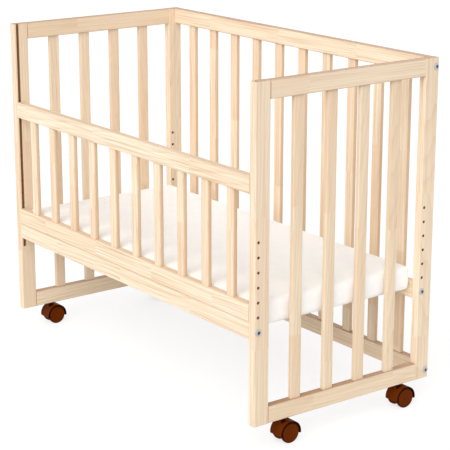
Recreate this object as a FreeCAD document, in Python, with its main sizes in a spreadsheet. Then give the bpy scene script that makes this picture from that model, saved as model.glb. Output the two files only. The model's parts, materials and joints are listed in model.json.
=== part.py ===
"""Bedside sleeper crib, built piece by piece as a parametric document.

Frame: X runs along the crib, Y across it (the side that faces the parents' bed is -Y) and Z up.
The origin lies on the floor under the middle of the crib. All sizes are in millimetres.

The crib is two glued end frames joined by a bolted rear panel, a slatted base with its mattress
that is bolted at one of seven heights, a front panel that stands on the base and slides up in
grooves of the front posts, and four twin-wheel swivel casters.
"""

import FreeCAD
import Part

import math
import os
import re

import Sketcher

# Driving dimensions: alias, value in millimetres (or a plain count), what it measures.
DIMENSIONS = (
    ("frame_length", 980, "length over the end frames"),
    ("frame_width", 496, "depth over the posts"),
    ("post_height", 728, "height of the four posts"),
    ("post_thick", 20, "thickness of the posts and end rails along X"),
    ("post_depth", 38, "depth of the posts along Y"),
    ("edge_ease", 1.5, "easing of the long edges of posts and rails"),
    ("rail_height", 38, "height of every rail"),
    ("panel_thick", 18, "thickness of the long rails"),
    ("slat_thick", 10, "thickness of the slats in the ends and the rear panel"),
    ("slat_width", 26, "width of the slats in the ends and the rear panel"),
    ("slat_ease", 1, "easing of the edges of those slats and of the base slats"),
    ("front_slat_width", 25, "width of the softer front panel slats"),
    ("front_slat_thick", 12, "thickness of the front panel slats"),
    ("front_slat_round", 4, "edge rounding of the front panel slats"),
    ("long_slat_count", 10, "slats in the rear panel and in the front panel"),
    ("long_row_margin", 69.5, "inner face of a post to the axis of the long panels' first slat"),
    ("end_slat_count", 4, "slats in each end frame"),
    ("end_row_margin", 77.25, "inner face of a post to the axis of the end frame's first slat"),
    ("slat_seat", 10, "depth of the mortises that take the panel slats"),
    ("glue_gap", 0.05, "gap on each side of a piece glued or pushed into wood"),
    ("tenon_thick", 10, "thickness of the end rail tenons"),
    ("tenon_height", 22, "height of the end rail tenons"),
    ("tenon_length", 15, "length of the end rail tenons"),
    ("setting_count", 7, "height settings drilled in each post"),
    ("setting_pitch", 32, "spacing of the height settings"),
    ("setting_inset", 9, "setting hole axis behind the post's front face"),
    ("setting_foot", 207.5, "lowest setting above the foot of the post"),
    ("bolt_hole", 6.6, "diameter of every hole that a bolt passes"),
    ("groove_width", 7, "width of the guide groove"),
    ("groove_depth", 7, "depth of the guide groove"),
    ("groove_foot", 165, "lowest point of the guide groove above the post's foot"),
    ("panel_height", 309, "height of the front panel"),
    ("panel_side_gap", 1, "running gap between the front panel and each post"),
    ("rest_gap", 0.3, "gap under a piece that rests on the base"),
    ("pin_diameter", 6.4, "guide pin"),
    ("pin_seat", 18, "length of a guide pin inside its rail"),
    ("pin_reach", 7.4, "length of a guide pin outside its rail"),
    ("bolt_diameter", 6, "shank of the joint bolts"),
    ("bolt_length", 56, "joint bolt below its head"),
    ("head_diameter", 15, "round bolt head"),
    ("head_height", 3, "bolt head proud of the post"),
    ("head_rim", 1, "straight rim of the bolt head"),
    ("key_width", 4, "hexagon socket across the flats"),
    ("key_depth", 2.2, "depth of the hexagon socket"),
    ("nut_diameter", 10, "barrel nut"),
    ("nut_length", 14, "length of a barrel nut"),
    ("nut_inset", 34, "barrel nut axis from the end of its rail"),
    ("thread_gap", 0.05, "radial gap between a bolt and its barrel nut"),
    ("base_slat_count", 8, "slats of the sleeping base"),
    ("base_slat_width", 60, "width of a base slat"),
    ("base_slat_thick", 9, "thickness of a base slat"),
    ("base_row_margin", 85, "inner face of a post to the axis of the first base slat"),
    ("base_slat_seat", 9, "depth of the mortises in the base rails"),
    ("mattress_thick", 59, "mattress thickness at its middle"),
    ("mattress_crown", 3, "rise of the mattress from its edges to its middle"),
    ("mattress_end_gap", 2, "gap between the mattress and each end frame"),
    ("mattress_side_gap", 1, "gap between the mattress and each base rail"),
    ("mattress_corner", 14, "corner radius of the mattress in plan"),
    ("mattress_top_round", 12, "rounding of the top edges"),
    ("mattress_foot_round", 9, "rounding of the bottom edges"),
    ("caster_inset", 83, "swivel axis behind the outer face of its post"),
    ("caster_trail", 10, "wheel axis beside the swivel axis"),
    ("axle_drop", 33, "wheel axis below the end frame"),
    ("wheel_diameter", 45, "caster wheel"),
    ("wheel_core", 35, "diameter of the wheel at the hood's web"),
    ("tread_width", 7, "width of the wheel's tread, its cut edge with it"),
    ("wheel_width", 15, "width of one caster wheel"),
    ("wheel_ease", 1.5, "cut edge of the wheel's outer face"),
    ("wheel_face", 3.5, "thickness of the wheel beyond the end of its axle"),
    ("wheel_side_gap", 0.3, "gap between a wheel and the hood's web"),
    ("hood_radius", 27, "outer radius of the caster hood"),
    ("hood_bore", 47, "inner diameter of the caster hood"),
    ("hood_overlap", 4, "hood below the wheel axis"),
    ("hood_width", 38, "width of the caster hood"),
    ("web_thick", 6.4, "web of the hood between the wheels"),
    ("web_radius", 10, "foot of the web round the axle"),
    ("boss_diameter", 16, "boss round the swivel stem"),
    ("boss_sink", 8, "boss below the top of the hood"),
    ("axle_diameter", 5, "wheel axle"),
    ("stem_diameter", 8, "swivel stem"),
    ("stem_reach", 30, "stem above the foot of the end frame"),
    ("stem_sink", 3, "foot of the stem below the top of the hood"),
    ("run_gap", 0.05, "radial running gap of stem and axle"),
    ("socket_diameter", 11, "socket pressed into the end rail"),
    ("socket_depth", 32, "socket above the foot of the end frame"),
    ("flange_diameter", 18, "flange of the socket"),
    ("flange_thick", 1.5, "thickness of the socket's flange"),
    ("swivel_gap", 0.1, "gap between the socket's flange and the hood's boss"),
)
NOMINAL = {alias: value for alias, value, _ in DIMENSIONS}

# Places that several pieces share, written with the aliases above.
FOOT = "(axle_drop + wheel_diameter / 2)"
INNER_LENGTH = "(frame_length - 2 * post_thick)"
INNER_WIDTH = "(frame_width - 2 * post_depth)"
POST_X = "(frame_length / 2 - post_thick / 2)"
POST_Y = "(frame_width / 2 - post_depth / 2)"
TOP_RAIL_Z = f"({FOOT} + post_height - rail_height / 2)"
BOTTOM_RAIL_Z = f"({FOOT} + rail_height / 2)"
REAR_RAIL_Y = "(frame_width / 2 - panel_thick / 2)"
FRONT_PANEL_Y = "(panel_thick / 2 - frame_width / 2)"
BASE_FRONT_Y = "(setting_inset - frame_width / 2)"
BASE_REAR_Y = "(frame_width / 2 - post_depth + setting_inset)"
BASE_RAIL_Z = f"({FOOT} + setting_foot)"
BASE_TOP_Z = f"({BASE_RAIL_Z} + rail_height / 2)"
PANEL_FOOT_Z = f"({BASE_TOP_Z} + rest_gap)"
PANEL_LENGTH = f"({INNER_LENGTH} - 2 * panel_side_gap)"
BASE_SPAN = "(frame_width - post_depth)"
LONG_PITCH = f"(({INNER_LENGTH} - 2 * long_row_margin) / (long_slat_count - 1))"
END_PITCH = f"(({INNER_WIDTH} - 2 * end_row_margin) / (end_slat_count - 1))"
BASE_PITCH = f"(({INNER_LENGTH} - 2 * base_row_margin) / (base_slat_count - 1))"
CASTER_Y = "(frame_width / 2 - caster_inset)"

Vector = FreeCAD.Vector
Constraint = Sketcher.Constraint
WORD = re.compile(r"[a-z_]{3,}")

document = FreeCAD.newDocument("BedsideCrib")
sizes = document.addObject("Spreadsheet::Sheet", "Sizes")
nodes = []


def fill_sheet():
    """Write the driving dimensions into the spreadsheet, one aliased cell each."""
    for row, (alias, value, meaning) in enumerate(DIMENSIONS, start=1):
        sizes.set(f"A{row}", meaning)
        sizes.set(f"B{row}", str(value))
        sizes.setAlias(f"B{row}", alias)
    document.recompute()


def with_sheet(text):
    """Put the sheet's name in front of each alias of an expression."""
    return WORD.sub(lambda word: f"Sizes.{word.group()}" if word.group() in NOMINAL else word.group(), text)


def bind(item, prop, text):
    """Bind a property to an expression over the sheet's aliases."""
    item.setExpression(prop, with_sheet(text))


def place(item, x="0", y="0", z="0"):
    """Bind a sub-part's position in the crib's frame."""
    bind(item, "Placement.Base.x", x)
    bind(item, "Placement.Base.y", y)
    bind(item, "Placement.Base.z", z)


def turn_about_z(item, degrees):
    """Turn a sub-part about its own vertical axis."""
    item.Placement.Rotation = FreeCAD.Rotation(Vector(0, 0, 1), degrees)


def keep(item, name):
    """Give a finished sub-part its node name."""
    item.Label = name
    nodes.append(item)


def new_body(name):
    """Start a body for one sub-part."""
    return document.addObject("PartDesign::Body", f"Body_{name}")


def origin_feature(body, role):
    """Return one of the body's own origin planes or axes."""
    return next(f for f in body.Origin.OriginFeatures if f.Role == role)


def new_sketch(body, role, u="0", v="0", out="0"):
    """Attach a sketch to an origin plane, its own origin moved by u, v and out along the normal."""
    sketch = body.newObject("Sketcher::SketchObject", "Sketch")
    sketch.AttachmentSupport = [(origin_feature(body, role), "")]
    sketch.MapMode = "FlatFace"
    bind(sketch, "AttachmentOffset.Base.x", u)
    bind(sketch, "AttachmentOffset.Base.y", v)
    bind(sketch, "AttachmentOffset.Base.z", out)
    return sketch


def size_constraint(sketch, constraint, text):
    """Add a dimensional constraint and bind it to the sheet."""
    index = sketch.addConstraint(constraint)
    bind(sketch, f"Constraints[{index}]", text)


def seat(size):
    """Size of a mortise or bore that takes a piece of the given size with the glue gap all round."""
    return f"({size} + 2 * glue_gap)"


def drawn_size(alias, gap):
    """The number that a sketch is drawn with before its constraint is bound to the sheet."""
    return NOMINAL[alias] + (2 * NOMINAL["glue_gap"] if gap else 0)


def first_in_row(span, margin):
    """Position of the first of a centred row that starts at a margin inside its span."""
    return f"({margin} - {span} / 2)"


def close_outline(sketch, first, count):
    """Join the ends of consecutive edges into a closed outline."""
    for step in range(count):
        following = first + (step + 1) % count
        sketch.addConstraint(Constraint("Coincident", first + step, 2, following, 1))


def draw_rectangle(sketch, width, height, gap=False):
    """Rectangle centred on the origin; width and height are aliases, with the glue gap round them if gap."""
    w = drawn_size(width, gap)
    h = drawn_size(height, gap)
    corners = [
        Vector(-w / 2, -h / 2, 0),
        Vector(w / 2, -h / 2, 0),
        Vector(w / 2, h / 2, 0),
        Vector(-w / 2, h / 2, 0),
    ]
    for step in range(4):
        sketch.addGeometry(Part.LineSegment(corners[step], corners[(step + 1) % 4]), False)
    close_outline(sketch, 0, 4)
    sketch.addConstraint(Constraint("Horizontal", 0))
    sketch.addConstraint(Constraint("Vertical", 1))
    sketch.addConstraint(Constraint("Horizontal", 2))
    sketch.addConstraint(Constraint("Vertical", 3))
    sketch.addConstraint(Constraint("Symmetric", 0, 1, 2, 1, -1, 1))
    size_constraint(sketch, Constraint("DistanceX", 0, 1, 0, 2, w), seat(width) if gap else width)
    size_constraint(sketch, Constraint("DistanceY", 1, 1, 1, 2, h), seat(height) if gap else height)


def draw_rounded(sketch, width, height, radius):
    """Rectangle with rounded corners, centred on the sketch's origin; all three are aliases."""
    w = NOMINAL[width] / 2
    h = NOMINAL[height] / 2
    r = NOMINAL[radius]
    lines = [
        (Vector(r - w, -h, 0), Vector(w - r, -h, 0)),
        (Vector(w, r - h, 0), Vector(w, h - r, 0)),
        (Vector(w - r, h, 0), Vector(r - w, h, 0)),
        (Vector(-w, h - r, 0), Vector(-w, r - h, 0)),
    ]
    centres = [
        Vector(w - r, r - h, 0),
        Vector(w - r, h - r, 0),
        Vector(r - w, h - r, 0),
        Vector(r - w, r - h, 0),
    ]
    for start, end in lines:
        sketch.addGeometry(Part.LineSegment(start, end), False)
    for quarter, centre in enumerate(centres):
        low = (quarter - 1) * math.pi / 2
        arc = Part.ArcOfCircle(Part.Circle(centre, Vector(0, 0, 1), r), low, low + math.pi / 2)
        sketch.addGeometry(arc, False)
    for quarter in range(4):
        sketch.addConstraint(Constraint("Tangent", quarter, 2, 4 + quarter, 1))
        sketch.addConstraint(Constraint("Tangent", 4 + quarter, 2, (quarter + 1) % 4, 1))
    for quarter in range(1, 4):
        sketch.addConstraint(Constraint("Equal", 4, 4 + quarter))
    sketch.addConstraint(Constraint("Horizontal", 0))
    sketch.addConstraint(Constraint("Vertical", 1))
    sketch.addConstraint(Constraint("Horizontal", 2))
    sketch.addConstraint(Constraint("Vertical", 3))
    sketch.addConstraint(Constraint("Symmetric", 4, 3, 6, 3, -1, 1))
    size_constraint(sketch, Constraint("Radius", 4, r), radius)
    size_constraint(sketch, Constraint("DistanceX", 3, 1, 1, 1, 2 * w), width)
    size_constraint(sketch, Constraint("DistanceY", 0, 1, 2, 1, 2 * h), height)


def draw_eased(sketch, width, height, ease):
    """Rectangle with its corners cut at 45 degrees, centred on the origin; all three are aliases."""
    w = NOMINAL[width] / 2
    h = NOMINAL[height] / 2
    cut = NOMINAL[ease]
    corners = [
        Vector(cut - w, -h, 0),
        Vector(w - cut, -h, 0),
        Vector(w, cut - h, 0),
        Vector(w, h - cut, 0),
        Vector(w - cut, h, 0),
        Vector(cut - w, h, 0),
        Vector(-w, h - cut, 0),
        Vector(-w, cut - h, 0),
    ]
    for step in range(8):
        sketch.addGeometry(Part.LineSegment(corners[step], corners[(step + 1) % 8]), False)
    close_outline(sketch, 0, 8)
    sketch.addConstraint(Constraint("Symmetric", 0, 1, 0, 2, -2))
    sketch.addConstraint(Constraint("Symmetric", 2, 1, 2, 2, -1))
    for step in range(4):
        sketch.addConstraint(Constraint("Symmetric", step, 1, step + 4, 1, -1, 1))
    size_constraint(sketch, Constraint("DistanceX", 6, 1, 2, 2, 2 * w), width)
    size_constraint(sketch, Constraint("DistanceY", 0, 1, 4, 2, 2 * h), height)
    size_constraint(sketch, Constraint("DistanceX", 1, 1, 1, 2, cut), ease)
    size_constraint(sketch, Constraint("DistanceY", 1, 1, 1, 2, cut), ease)


def draw_circle(sketch, diameter, gap=False):
    """Circle on the sketch's origin; diameter is an alias, with the glue gap round it if gap."""
    d = drawn_size(diameter, gap)
    sketch.addGeometry(Part.Circle(Vector(0, 0, 0), Vector(0, 0, 1), d / 2), False)
    sketch.addConstraint(Constraint("Coincident", 0, 3, -1, 1))
    size_constraint(sketch, Constraint("Diameter", 0, d), seat(diameter) if gap else diameter)


def pad(body, sketch, length, symmetric=False, reverse=False):
    """Raise a sketch into a solid, to both sides of its plane if symmetric."""
    feature = body.newObject("PartDesign::Pad", "Pad")
    feature.Profile = sketch
    if symmetric:
        feature.SideType = "Symmetric"
    feature.Reversed = reverse
    bind(feature, "Length", length)
    return feature


def pocket(body, sketch, depth, reverse=False):
    """Cut a sketch into the body, against its plane's normal unless reversed."""
    feature = body.newObject("PartDesign::Pocket", "Pocket")
    feature.Profile = sketch
    feature.Reversed = reverse
    bind(feature, "Length", depth)
    return feature


def through(body, sketch):
    """Cut a sketch right through the body, both ways."""
    feature = body.newObject("PartDesign::Pocket", "Through")
    feature.Profile = sketch
    feature.SideType = "Symmetric"
    feature.Type = "ThroughAll"
    return feature


def repeat(body, feature, role, count, pitch):
    """Repeat a feature along one of the body's axes."""
    pattern = body.newObject("PartDesign::LinearPattern", "Pattern")
    pattern.Originals = [feature]
    pattern.Direction = (origin_feature(body, role), [""])
    pattern.Mode = "Spacing"
    bind(pattern, "Offset", pitch)
    bind(pattern, "Occurrences", count)
    body.Tip = pattern
    return pattern


# ---------------------------------------------------------------- posts

def post(name, side, front):
    """One post: setting holes, mortises for the end rails, then its groove or its panel bolt holes.

    side is +1 at the +X end and -1 at the other; front posts have the guide groove on their inner
    face, rear posts have two holes for the rear panel's bolts.
    """
    body = new_body(name)
    outline = new_sketch(body, "XY_Plane")
    draw_eased(outline, "post_thick", "post_depth", "edge_ease")
    pad(body, outline, "post_height")

    hole = new_sketch(body, "YZ_Plane", u="setting_inset - post_depth / 2", v="setting_foot")
    draw_circle(hole, "bolt_hole")
    first = through(body, hole)
    repeat(body, first, "Z_Axis", "setting_count", "setting_pitch")

    inner_y = 1 if front else -1
    mortise = new_sketch(body, "XZ_Plane", v="rail_height / 2", out=f"{-inner_y} * post_depth / 2")
    draw_rectangle(mortise, "tenon_thick", "tenon_height", gap=True)
    first = pocket(body, mortise, "tenon_length + glue_gap", reverse=front)
    last = repeat(body, first, "Z_Axis", "2", "post_height - rail_height")

    if front:
        last = guide_groove(body, side)
    else:
        bolt = new_sketch(body, "YZ_Plane", u="post_depth / 2 - panel_thick / 2", v="rail_height / 2")
        draw_circle(bolt, "bolt_hole")
        first = through(body, bolt)
        last = repeat(body, first, "Z_Axis", "2", "post_height - rail_height")
    body.Tip = last
    place(body, f"{side} * {POST_X}", f"{-inner_y} * {POST_Y}", FOOT)
    keep(body, name)


def guide_groove(body, side):
    """Groove for the front panel's pins: open at the post's top, round at its foot."""
    radius = NOMINAL["groove_width"] / 2
    straight = NOMINAL["post_height"] - NOMINAL["groove_foot"] - radius
    sketch = new_sketch(
        body,
        "YZ_Plane",
        u="panel_thick / 2 - post_depth / 2",
        v="groove_foot + groove_width / 2",
        out=f"{-side} * post_thick / 2",
    )
    sketch.addGeometry(Part.LineSegment(Vector(radius, 0, 0), Vector(radius, straight, 0)), False)
    sketch.addGeometry(Part.LineSegment(Vector(radius, straight, 0), Vector(-radius, straight, 0)), False)
    sketch.addGeometry(Part.LineSegment(Vector(-radius, straight, 0), Vector(-radius, 0, 0)), False)
    foot = Part.Circle(Vector(0, 0, 0), Vector(0, 0, 1), radius)
    sketch.addGeometry(Part.ArcOfCircle(foot, math.pi, 2 * math.pi), False)
    sketch.addConstraint(Constraint("Coincident", 0, 2, 1, 1))
    sketch.addConstraint(Constraint("Coincident", 1, 2, 2, 1))
    sketch.addConstraint(Constraint("Tangent", 2, 2, 3, 1))
    sketch.addConstraint(Constraint("Tangent", 3, 2, 0, 1))
    sketch.addConstraint(Constraint("Vertical", 0))
    sketch.addConstraint(Constraint("Horizontal", 1))
    sketch.addConstraint(Constraint("Vertical", 2))
    sketch.addConstraint(Constraint("Coincident", 3, 3, -1, 1))
    size_constraint(sketch, Constraint("Radius", 3, radius), "groove_width / 2")
    length = "post_height - groove_foot - groove_width / 2"
    size_constraint(sketch, Constraint("DistanceY", 0, 1, 0, 2, straight), length)
    return pocket(body, sketch, "groove_depth", reverse=side > 0)


# ---------------------------------------------------------------- end frames

def end_rail(name, side, top):
    """One rail between the posts of an end frame, with a tenon at each end.

    The top rail takes the slats from below. The bottom rail takes them from above and has two
    bores for the caster sockets.
    """
    body = new_body(name)
    outline = new_sketch(body, "XZ_Plane")
    draw_eased(outline, "post_thick", "rail_height", "edge_ease")
    pad(body, outline, INNER_WIDTH, symmetric=True)
    tenon = new_sketch(body, "XZ_Plane")
    draw_rectangle(tenon, "tenon_thick", "tenon_height")
    pad(body, tenon, f"{INNER_WIDTH} + 2 * tenon_length", symmetric=True)

    up = -1 if top else 1
    mortise = new_sketch(
        body,
        "XY_Plane",
        v=first_in_row(INNER_WIDTH, "end_row_margin"),
        out=f"{up} * rail_height / 2",
    )
    draw_rectangle(mortise, "slat_thick", "slat_width", gap=True)
    first = pocket(body, mortise, "slat_seat + glue_gap", reverse=top)
    last = repeat(body, first, "Y_Axis", "end_slat_count", END_PITCH)

    if not top:
        bore = new_sketch(body, "XY_Plane", v=f"-{CASTER_Y}", out="-rail_height / 2")
        draw_circle(bore, "socket_diameter", gap=True)
        first = pocket(body, bore, "socket_depth + glue_gap", reverse=True)
        last = repeat(body, first, "Y_Axis", "2", f"2 * {CASTER_Y}")
    body.Tip = last
    place(body, f"{side} * {POST_X}", "0", TOP_RAIL_Z if top else BOTTOM_RAIL_Z)
    keep(body, name)


def end_slats(name, side):
    """The slats of one end frame, as separate solids in one node."""
    body = new_body(name)
    outline = new_sketch(body, "XY_Plane", v=first_in_row(INNER_WIDTH, "end_row_margin"))
    draw_eased(outline, "slat_thick", "slat_width", "slat_ease")
    first = pad(body, outline, "post_height - 2 * rail_height + 2 * slat_seat")
    repeat(body, first, "Y_Axis", "end_slat_count", END_PITCH)
    place(body, f"{side} * {POST_X}", "0", f"{FOOT} + rail_height - slat_seat")
    keep(body, name)


# ---------------------------------------------------------------- long rails and their slats

def bar_along_x(name, length):
    """A long rail's plain bar, centred on its own origin."""
    body = new_body(name)
    outline = new_sketch(body, "YZ_Plane")
    draw_eased(outline, "panel_thick", "rail_height", "edge_ease")
    pad(body, outline, length, symmetric=True)
    return body


def slat_mortises(body, width, thick, opens_up):
    """Row of mortises for upright slats in the rail's upper or lower edge; width and thick are aliases."""
    side = 1 if opens_up else -1
    mortise = new_sketch(
        body,
        "XY_Plane",
        u=first_in_row(INNER_LENGTH, "long_row_margin"),
        out=f"{side} * rail_height / 2",
    )
    draw_rectangle(mortise, width, thick, gap=True)
    first = pocket(body, mortise, "slat_seat + glue_gap", reverse=not opens_up)
    return repeat(body, first, "X_Axis", "long_slat_count", LONG_PITCH)


def bolt_bores(body):
    """At each end, a bore for the joint bolt and a cross bore from below for its barrel nut."""
    for end in (-1, 1):
        bore = new_sketch(body, "YZ_Plane", out=f"{end} * {INNER_LENGTH} / 2")
        draw_circle(bore, "bolt_hole")
        pocket(body, bore, "bolt_length - post_thick + glue_gap", reverse=end < 0)
        nut_x = f"{end} * ({INNER_LENGTH} / 2 - nut_inset)"
        cross = new_sketch(body, "XY_Plane", u=nut_x, out="-rail_height / 2")
        draw_circle(cross, "nut_diameter", gap=True)
        last = pocket(body, cross, "rail_height / 2 + nut_length / 2 + glue_gap", reverse=True)
    return last


def rear_rail(name, top):
    """Rail of the rear panel, bolted between the rear posts."""
    body = bar_along_x(name, INNER_LENGTH)
    slat_mortises(body, "slat_width", "slat_thick", opens_up=not top)
    body.Tip = bolt_bores(body)
    place(body, "0", REAR_RAIL_Y, TOP_RAIL_Z if top else BOTTOM_RAIL_Z)
    keep(body, name)


def base_rail(name, inner, y):
    """Side rail of the sleeping base; inner is +1 where its mortises face +Y."""
    body = bar_along_x(name, INNER_LENGTH)
    mortise = new_sketch(
        body,
        "XZ_Plane",
        u=first_in_row(INNER_LENGTH, "base_row_margin"),
        v="-base_slat_thick / 2",
        out=f"{-inner} * panel_thick / 2",
    )
    draw_rectangle(mortise, "base_slat_width", "base_slat_thick", gap=True)
    first = pocket(body, mortise, "base_slat_seat + glue_gap", reverse=inner > 0)
    repeat(body, first, "X_Axis", "base_slat_count", BASE_PITCH)
    body.Tip = bolt_bores(body)
    place(body, "0", y, BASE_RAIL_Z)
    keep(body, name)


def front_rail(name, top):
    """Rail of the front panel, with a blind bore for a guide pin in each end."""
    body = bar_along_x(name, PANEL_LENGTH)
    last = slat_mortises(body, "front_slat_width", "front_slat_thick", opens_up=not top)
    for end in (-1, 1):
        bore = new_sketch(body, "YZ_Plane", out=f"{end} * {PANEL_LENGTH} / 2")
        draw_circle(bore, "pin_diameter", gap=True)
        last = pocket(body, bore, "pin_seat + glue_gap", reverse=end < 0)
    body.Tip = last
    height = "panel_height - rail_height / 2" if top else "rail_height / 2"
    place(body, "0", FRONT_PANEL_Y, f"{PANEL_FOOT_Z} + {height}")
    keep(body, name)


def upright_slat(name, index, draw, width, thick, edge, length, y, z):
    """One upright slat of a long panel, the index-th from the -X end.

    draw is draw_eased or draw_rounded; width, thick and edge, its corner size, are aliases.
    """
    body = new_body(name)
    outline = new_sketch(body, "XY_Plane")
    draw(outline, width, thick, edge)
    pad(body, outline, length)
    first = first_in_row(INNER_LENGTH, "long_row_margin")
    place(body, f"{first} + {index} * {LONG_PITCH}", y, z)
    keep(body, name)


def rear_slats():
    """The rear panel's slats, a node each."""
    for index in range(NOMINAL["long_slat_count"]):
        upright_slat(
            f"rear_slat_{index + 1}",
            index,
            draw_eased,
            "slat_width",
            "slat_thick",
            "slat_ease",
            "post_height - 2 * rail_height + 2 * slat_seat",
            REAR_RAIL_Y,
            f"{FOOT} + rail_height - slat_seat",
        )


def front_slats():
    """The front panel's slats, a node each."""
    for index in range(NOMINAL["long_slat_count"]):
        upright_slat(
            f"front_slat_{index + 1}",
            index,
            draw_rounded,
            "front_slat_width",
            "front_slat_thick",
            "front_slat_round",
            "panel_height - 2 * rail_height + 2 * slat_seat",
            FRONT_PANEL_Y,
            f"{PANEL_FOOT_Z} + rail_height - slat_seat",
        )


def base_slats(name):
    """The slats of the sleeping base, as separate solids in one node."""
    body = new_body(name)
    outline = new_sketch(body, "XZ_Plane", u=first_in_row(INNER_LENGTH, "base_row_margin"))
    draw_eased(outline, "base_slat_width", "base_slat_thick", "slat_ease")
    first = pad(body, outline, f"{BASE_SPAN} - panel_thick + 2 * base_slat_seat", symmetric=True)
    repeat(body, first, "X_Axis", "base_slat_count", BASE_PITCH)
    middle = f"({BASE_REAR_Y} + {BASE_FRONT_Y}) / 2"
    place(body, "0", middle, f"{BASE_RAIL_Z} - base_slat_thick / 2")
    keep(body, name)


# ---------------------------------------------------------------- fasteners

def joint_bolt(x, y, z, side):
    """Joint bolt with a domed head and a hexagon socket; side is +1 where its head faces +X."""
    body = new_body("bolt")
    shank_radius = NOMINAL["bolt_diameter"] / 2
    head_radius = NOMINAL["head_diameter"] / 2
    rim = NOMINAL["head_rim"]
    height = NOMINAL["head_height"]
    length = NOMINAL["bolt_length"]
    crown = head_radius / 2
    outline = new_sketch(body, "XZ_Plane")
    points = [
        Vector(-length, 0, 0),
        Vector(height, 0, 0),
        Vector(height, crown, 0),
        Vector(rim, head_radius, 0),
        Vector(0, head_radius, 0),
        Vector(0, shank_radius, 0),
        Vector(-length, shank_radius, 0),
    ]
    for step in range(7):
        outline.addGeometry(Part.LineSegment(points[step], points[(step + 1) % 7]), False)
    close_outline(outline, 0, 7)
    for level in (0, 5):
        outline.addConstraint(Constraint("Horizontal", level))
    outline.addConstraint(Constraint("Horizontal", 3))
    for upright in (1, 4, 6):
        outline.addConstraint(Constraint("Vertical", upright))
    outline.addConstraint(Constraint("PointOnObject", 0, 1, -1))
    outline.addConstraint(Constraint("PointOnObject", 4, 1, -2))
    size_constraint(outline, Constraint("DistanceX", 0, 1, -1, 1, length), "bolt_length")
    size_constraint(outline, Constraint("DistanceX", -1, 1, 0, 2, height), "head_height")
    size_constraint(outline, Constraint("DistanceX", -1, 1, 3, 1, rim), "head_rim")
    size_constraint(outline, Constraint("DistanceY", -1, 1, 5, 2, shank_radius), "bolt_diameter / 2")
    size_constraint(outline, Constraint("DistanceY", -1, 1, 3, 2, head_radius), "head_diameter / 2")
    size_constraint(outline, Constraint("DistanceY", -1, 1, 1, 2, crown), "head_diameter / 4")
    solid = body.newObject("PartDesign::Revolution", "Turned")
    solid.Profile = outline
    solid.ReferenceAxis = (origin_feature(body, "X_Axis"), [""])
    solid.Angle = 360
    key = new_sketch(body, "YZ_Plane", out="head_height")
    draw_hexagon(key, "key_width")
    body.Tip = pocket(body, key, "key_depth")
    if side < 0:
        turn_about_z(body, 180)
    place(body, x, y, z)
    return body


def draw_hexagon(sketch, across_flats):
    """Regular hexagon round the sketch's origin, two of its sides level; across_flats is an alias."""
    across = NOMINAL[across_flats]
    radius = across / math.sqrt(3)
    corners = []
    for step in range(6):
        turned = FreeCAD.Rotation(Vector(0, 0, 1), 60 * step).multVec(Vector(radius, 0, 0))
        corners.append(turned)
    for step in range(6):
        sketch.addGeometry(Part.LineSegment(corners[step], corners[(step + 1) % 6]), False)
    close_outline(sketch, 0, 6)
    sketch.addGeometry(Part.Circle(Vector(0, 0, 0), Vector(0, 0, 1), radius), True)
    sketch.addConstraint(Constraint("Coincident", 6, 3, -1, 1))
    for step in range(6):
        sketch.addConstraint(Constraint("PointOnObject", step, 1, 6))
    for step in range(1, 6):
        sketch.addConstraint(Constraint("Equal", 0, step))
    sketch.addConstraint(Constraint("PointOnObject", 0, 1, -1))
    size_constraint(sketch, Constraint("DistanceY", 4, 1, 1, 1, across), across_flats)


def barrel_nut(x, y, z):
    """Barrel nut standing upright in its rail, with the bolt's hole across it."""
    barrel = document.addObject("Part::Cylinder", "Barrel")
    bind(barrel, "Radius", "nut_diameter / 2")
    bind(barrel, "Height", "nut_length")
    place(barrel, x, y, f"{z} - nut_length / 2")
    hole = document.addObject("Part::Cylinder", "Thread")
    bind(hole, "Radius", "bolt_diameter / 2 + thread_gap")
    bind(hole, "Height", "2 * nut_diameter")
    hole.Placement.Rotation = FreeCAD.Rotation(Vector(0, 1, 0), 90)
    place(hole, f"{x} - nut_diameter", y, z)
    nut = document.addObject("Part::Cut", "Nut")
    nut.Base = barrel
    nut.Tool = hole
    return nut


def group(name, items):
    """Several separate solids of the same sort, in one node."""
    compound = document.addObject("Part::Compound", "Group")
    compound.Links = items
    keep(compound, name)


def fasteners(bolt_name, nut_name, places):
    """Bolts through the posts and their barrel nuts, at both ends of the rails at the places (y, z)."""
    bolts = []
    nuts = []
    for y, z in places:
        for side in (-1, 1):
            bolts.append(joint_bolt(f"{side} * frame_length / 2", y, z, side))
            nuts.append(barrel_nut(f"{side} * ({INNER_LENGTH} / 2 - nut_inset)", y, z))
    group(bolt_name, bolts)
    group(nut_name, nuts)


def guide_pins(name):
    """Four steel pins in the ends of the front panel's rails, which run in the posts' grooves."""
    pins = []
    for height in ("rail_height / 2", "panel_height - rail_height / 2"):
        for side in (-1, 1):
            pin = document.addObject("Part::Cylinder", "Pin")
            bind(pin, "Radius", "pin_diameter / 2")
            bind(pin, "Height", "pin_seat + pin_reach")
            pin.Placement.Rotation = FreeCAD.Rotation(Vector(0, 1, 0), 90 * side)
            inner_end = f"{side} * ({PANEL_LENGTH} / 2 - pin_seat)"
            place(pin, inner_end, FRONT_PANEL_Y, f"{PANEL_FOOT_Z} + {height}")
            pins.append(pin)
    group(name, pins)


# ---------------------------------------------------------------- mattress

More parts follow.
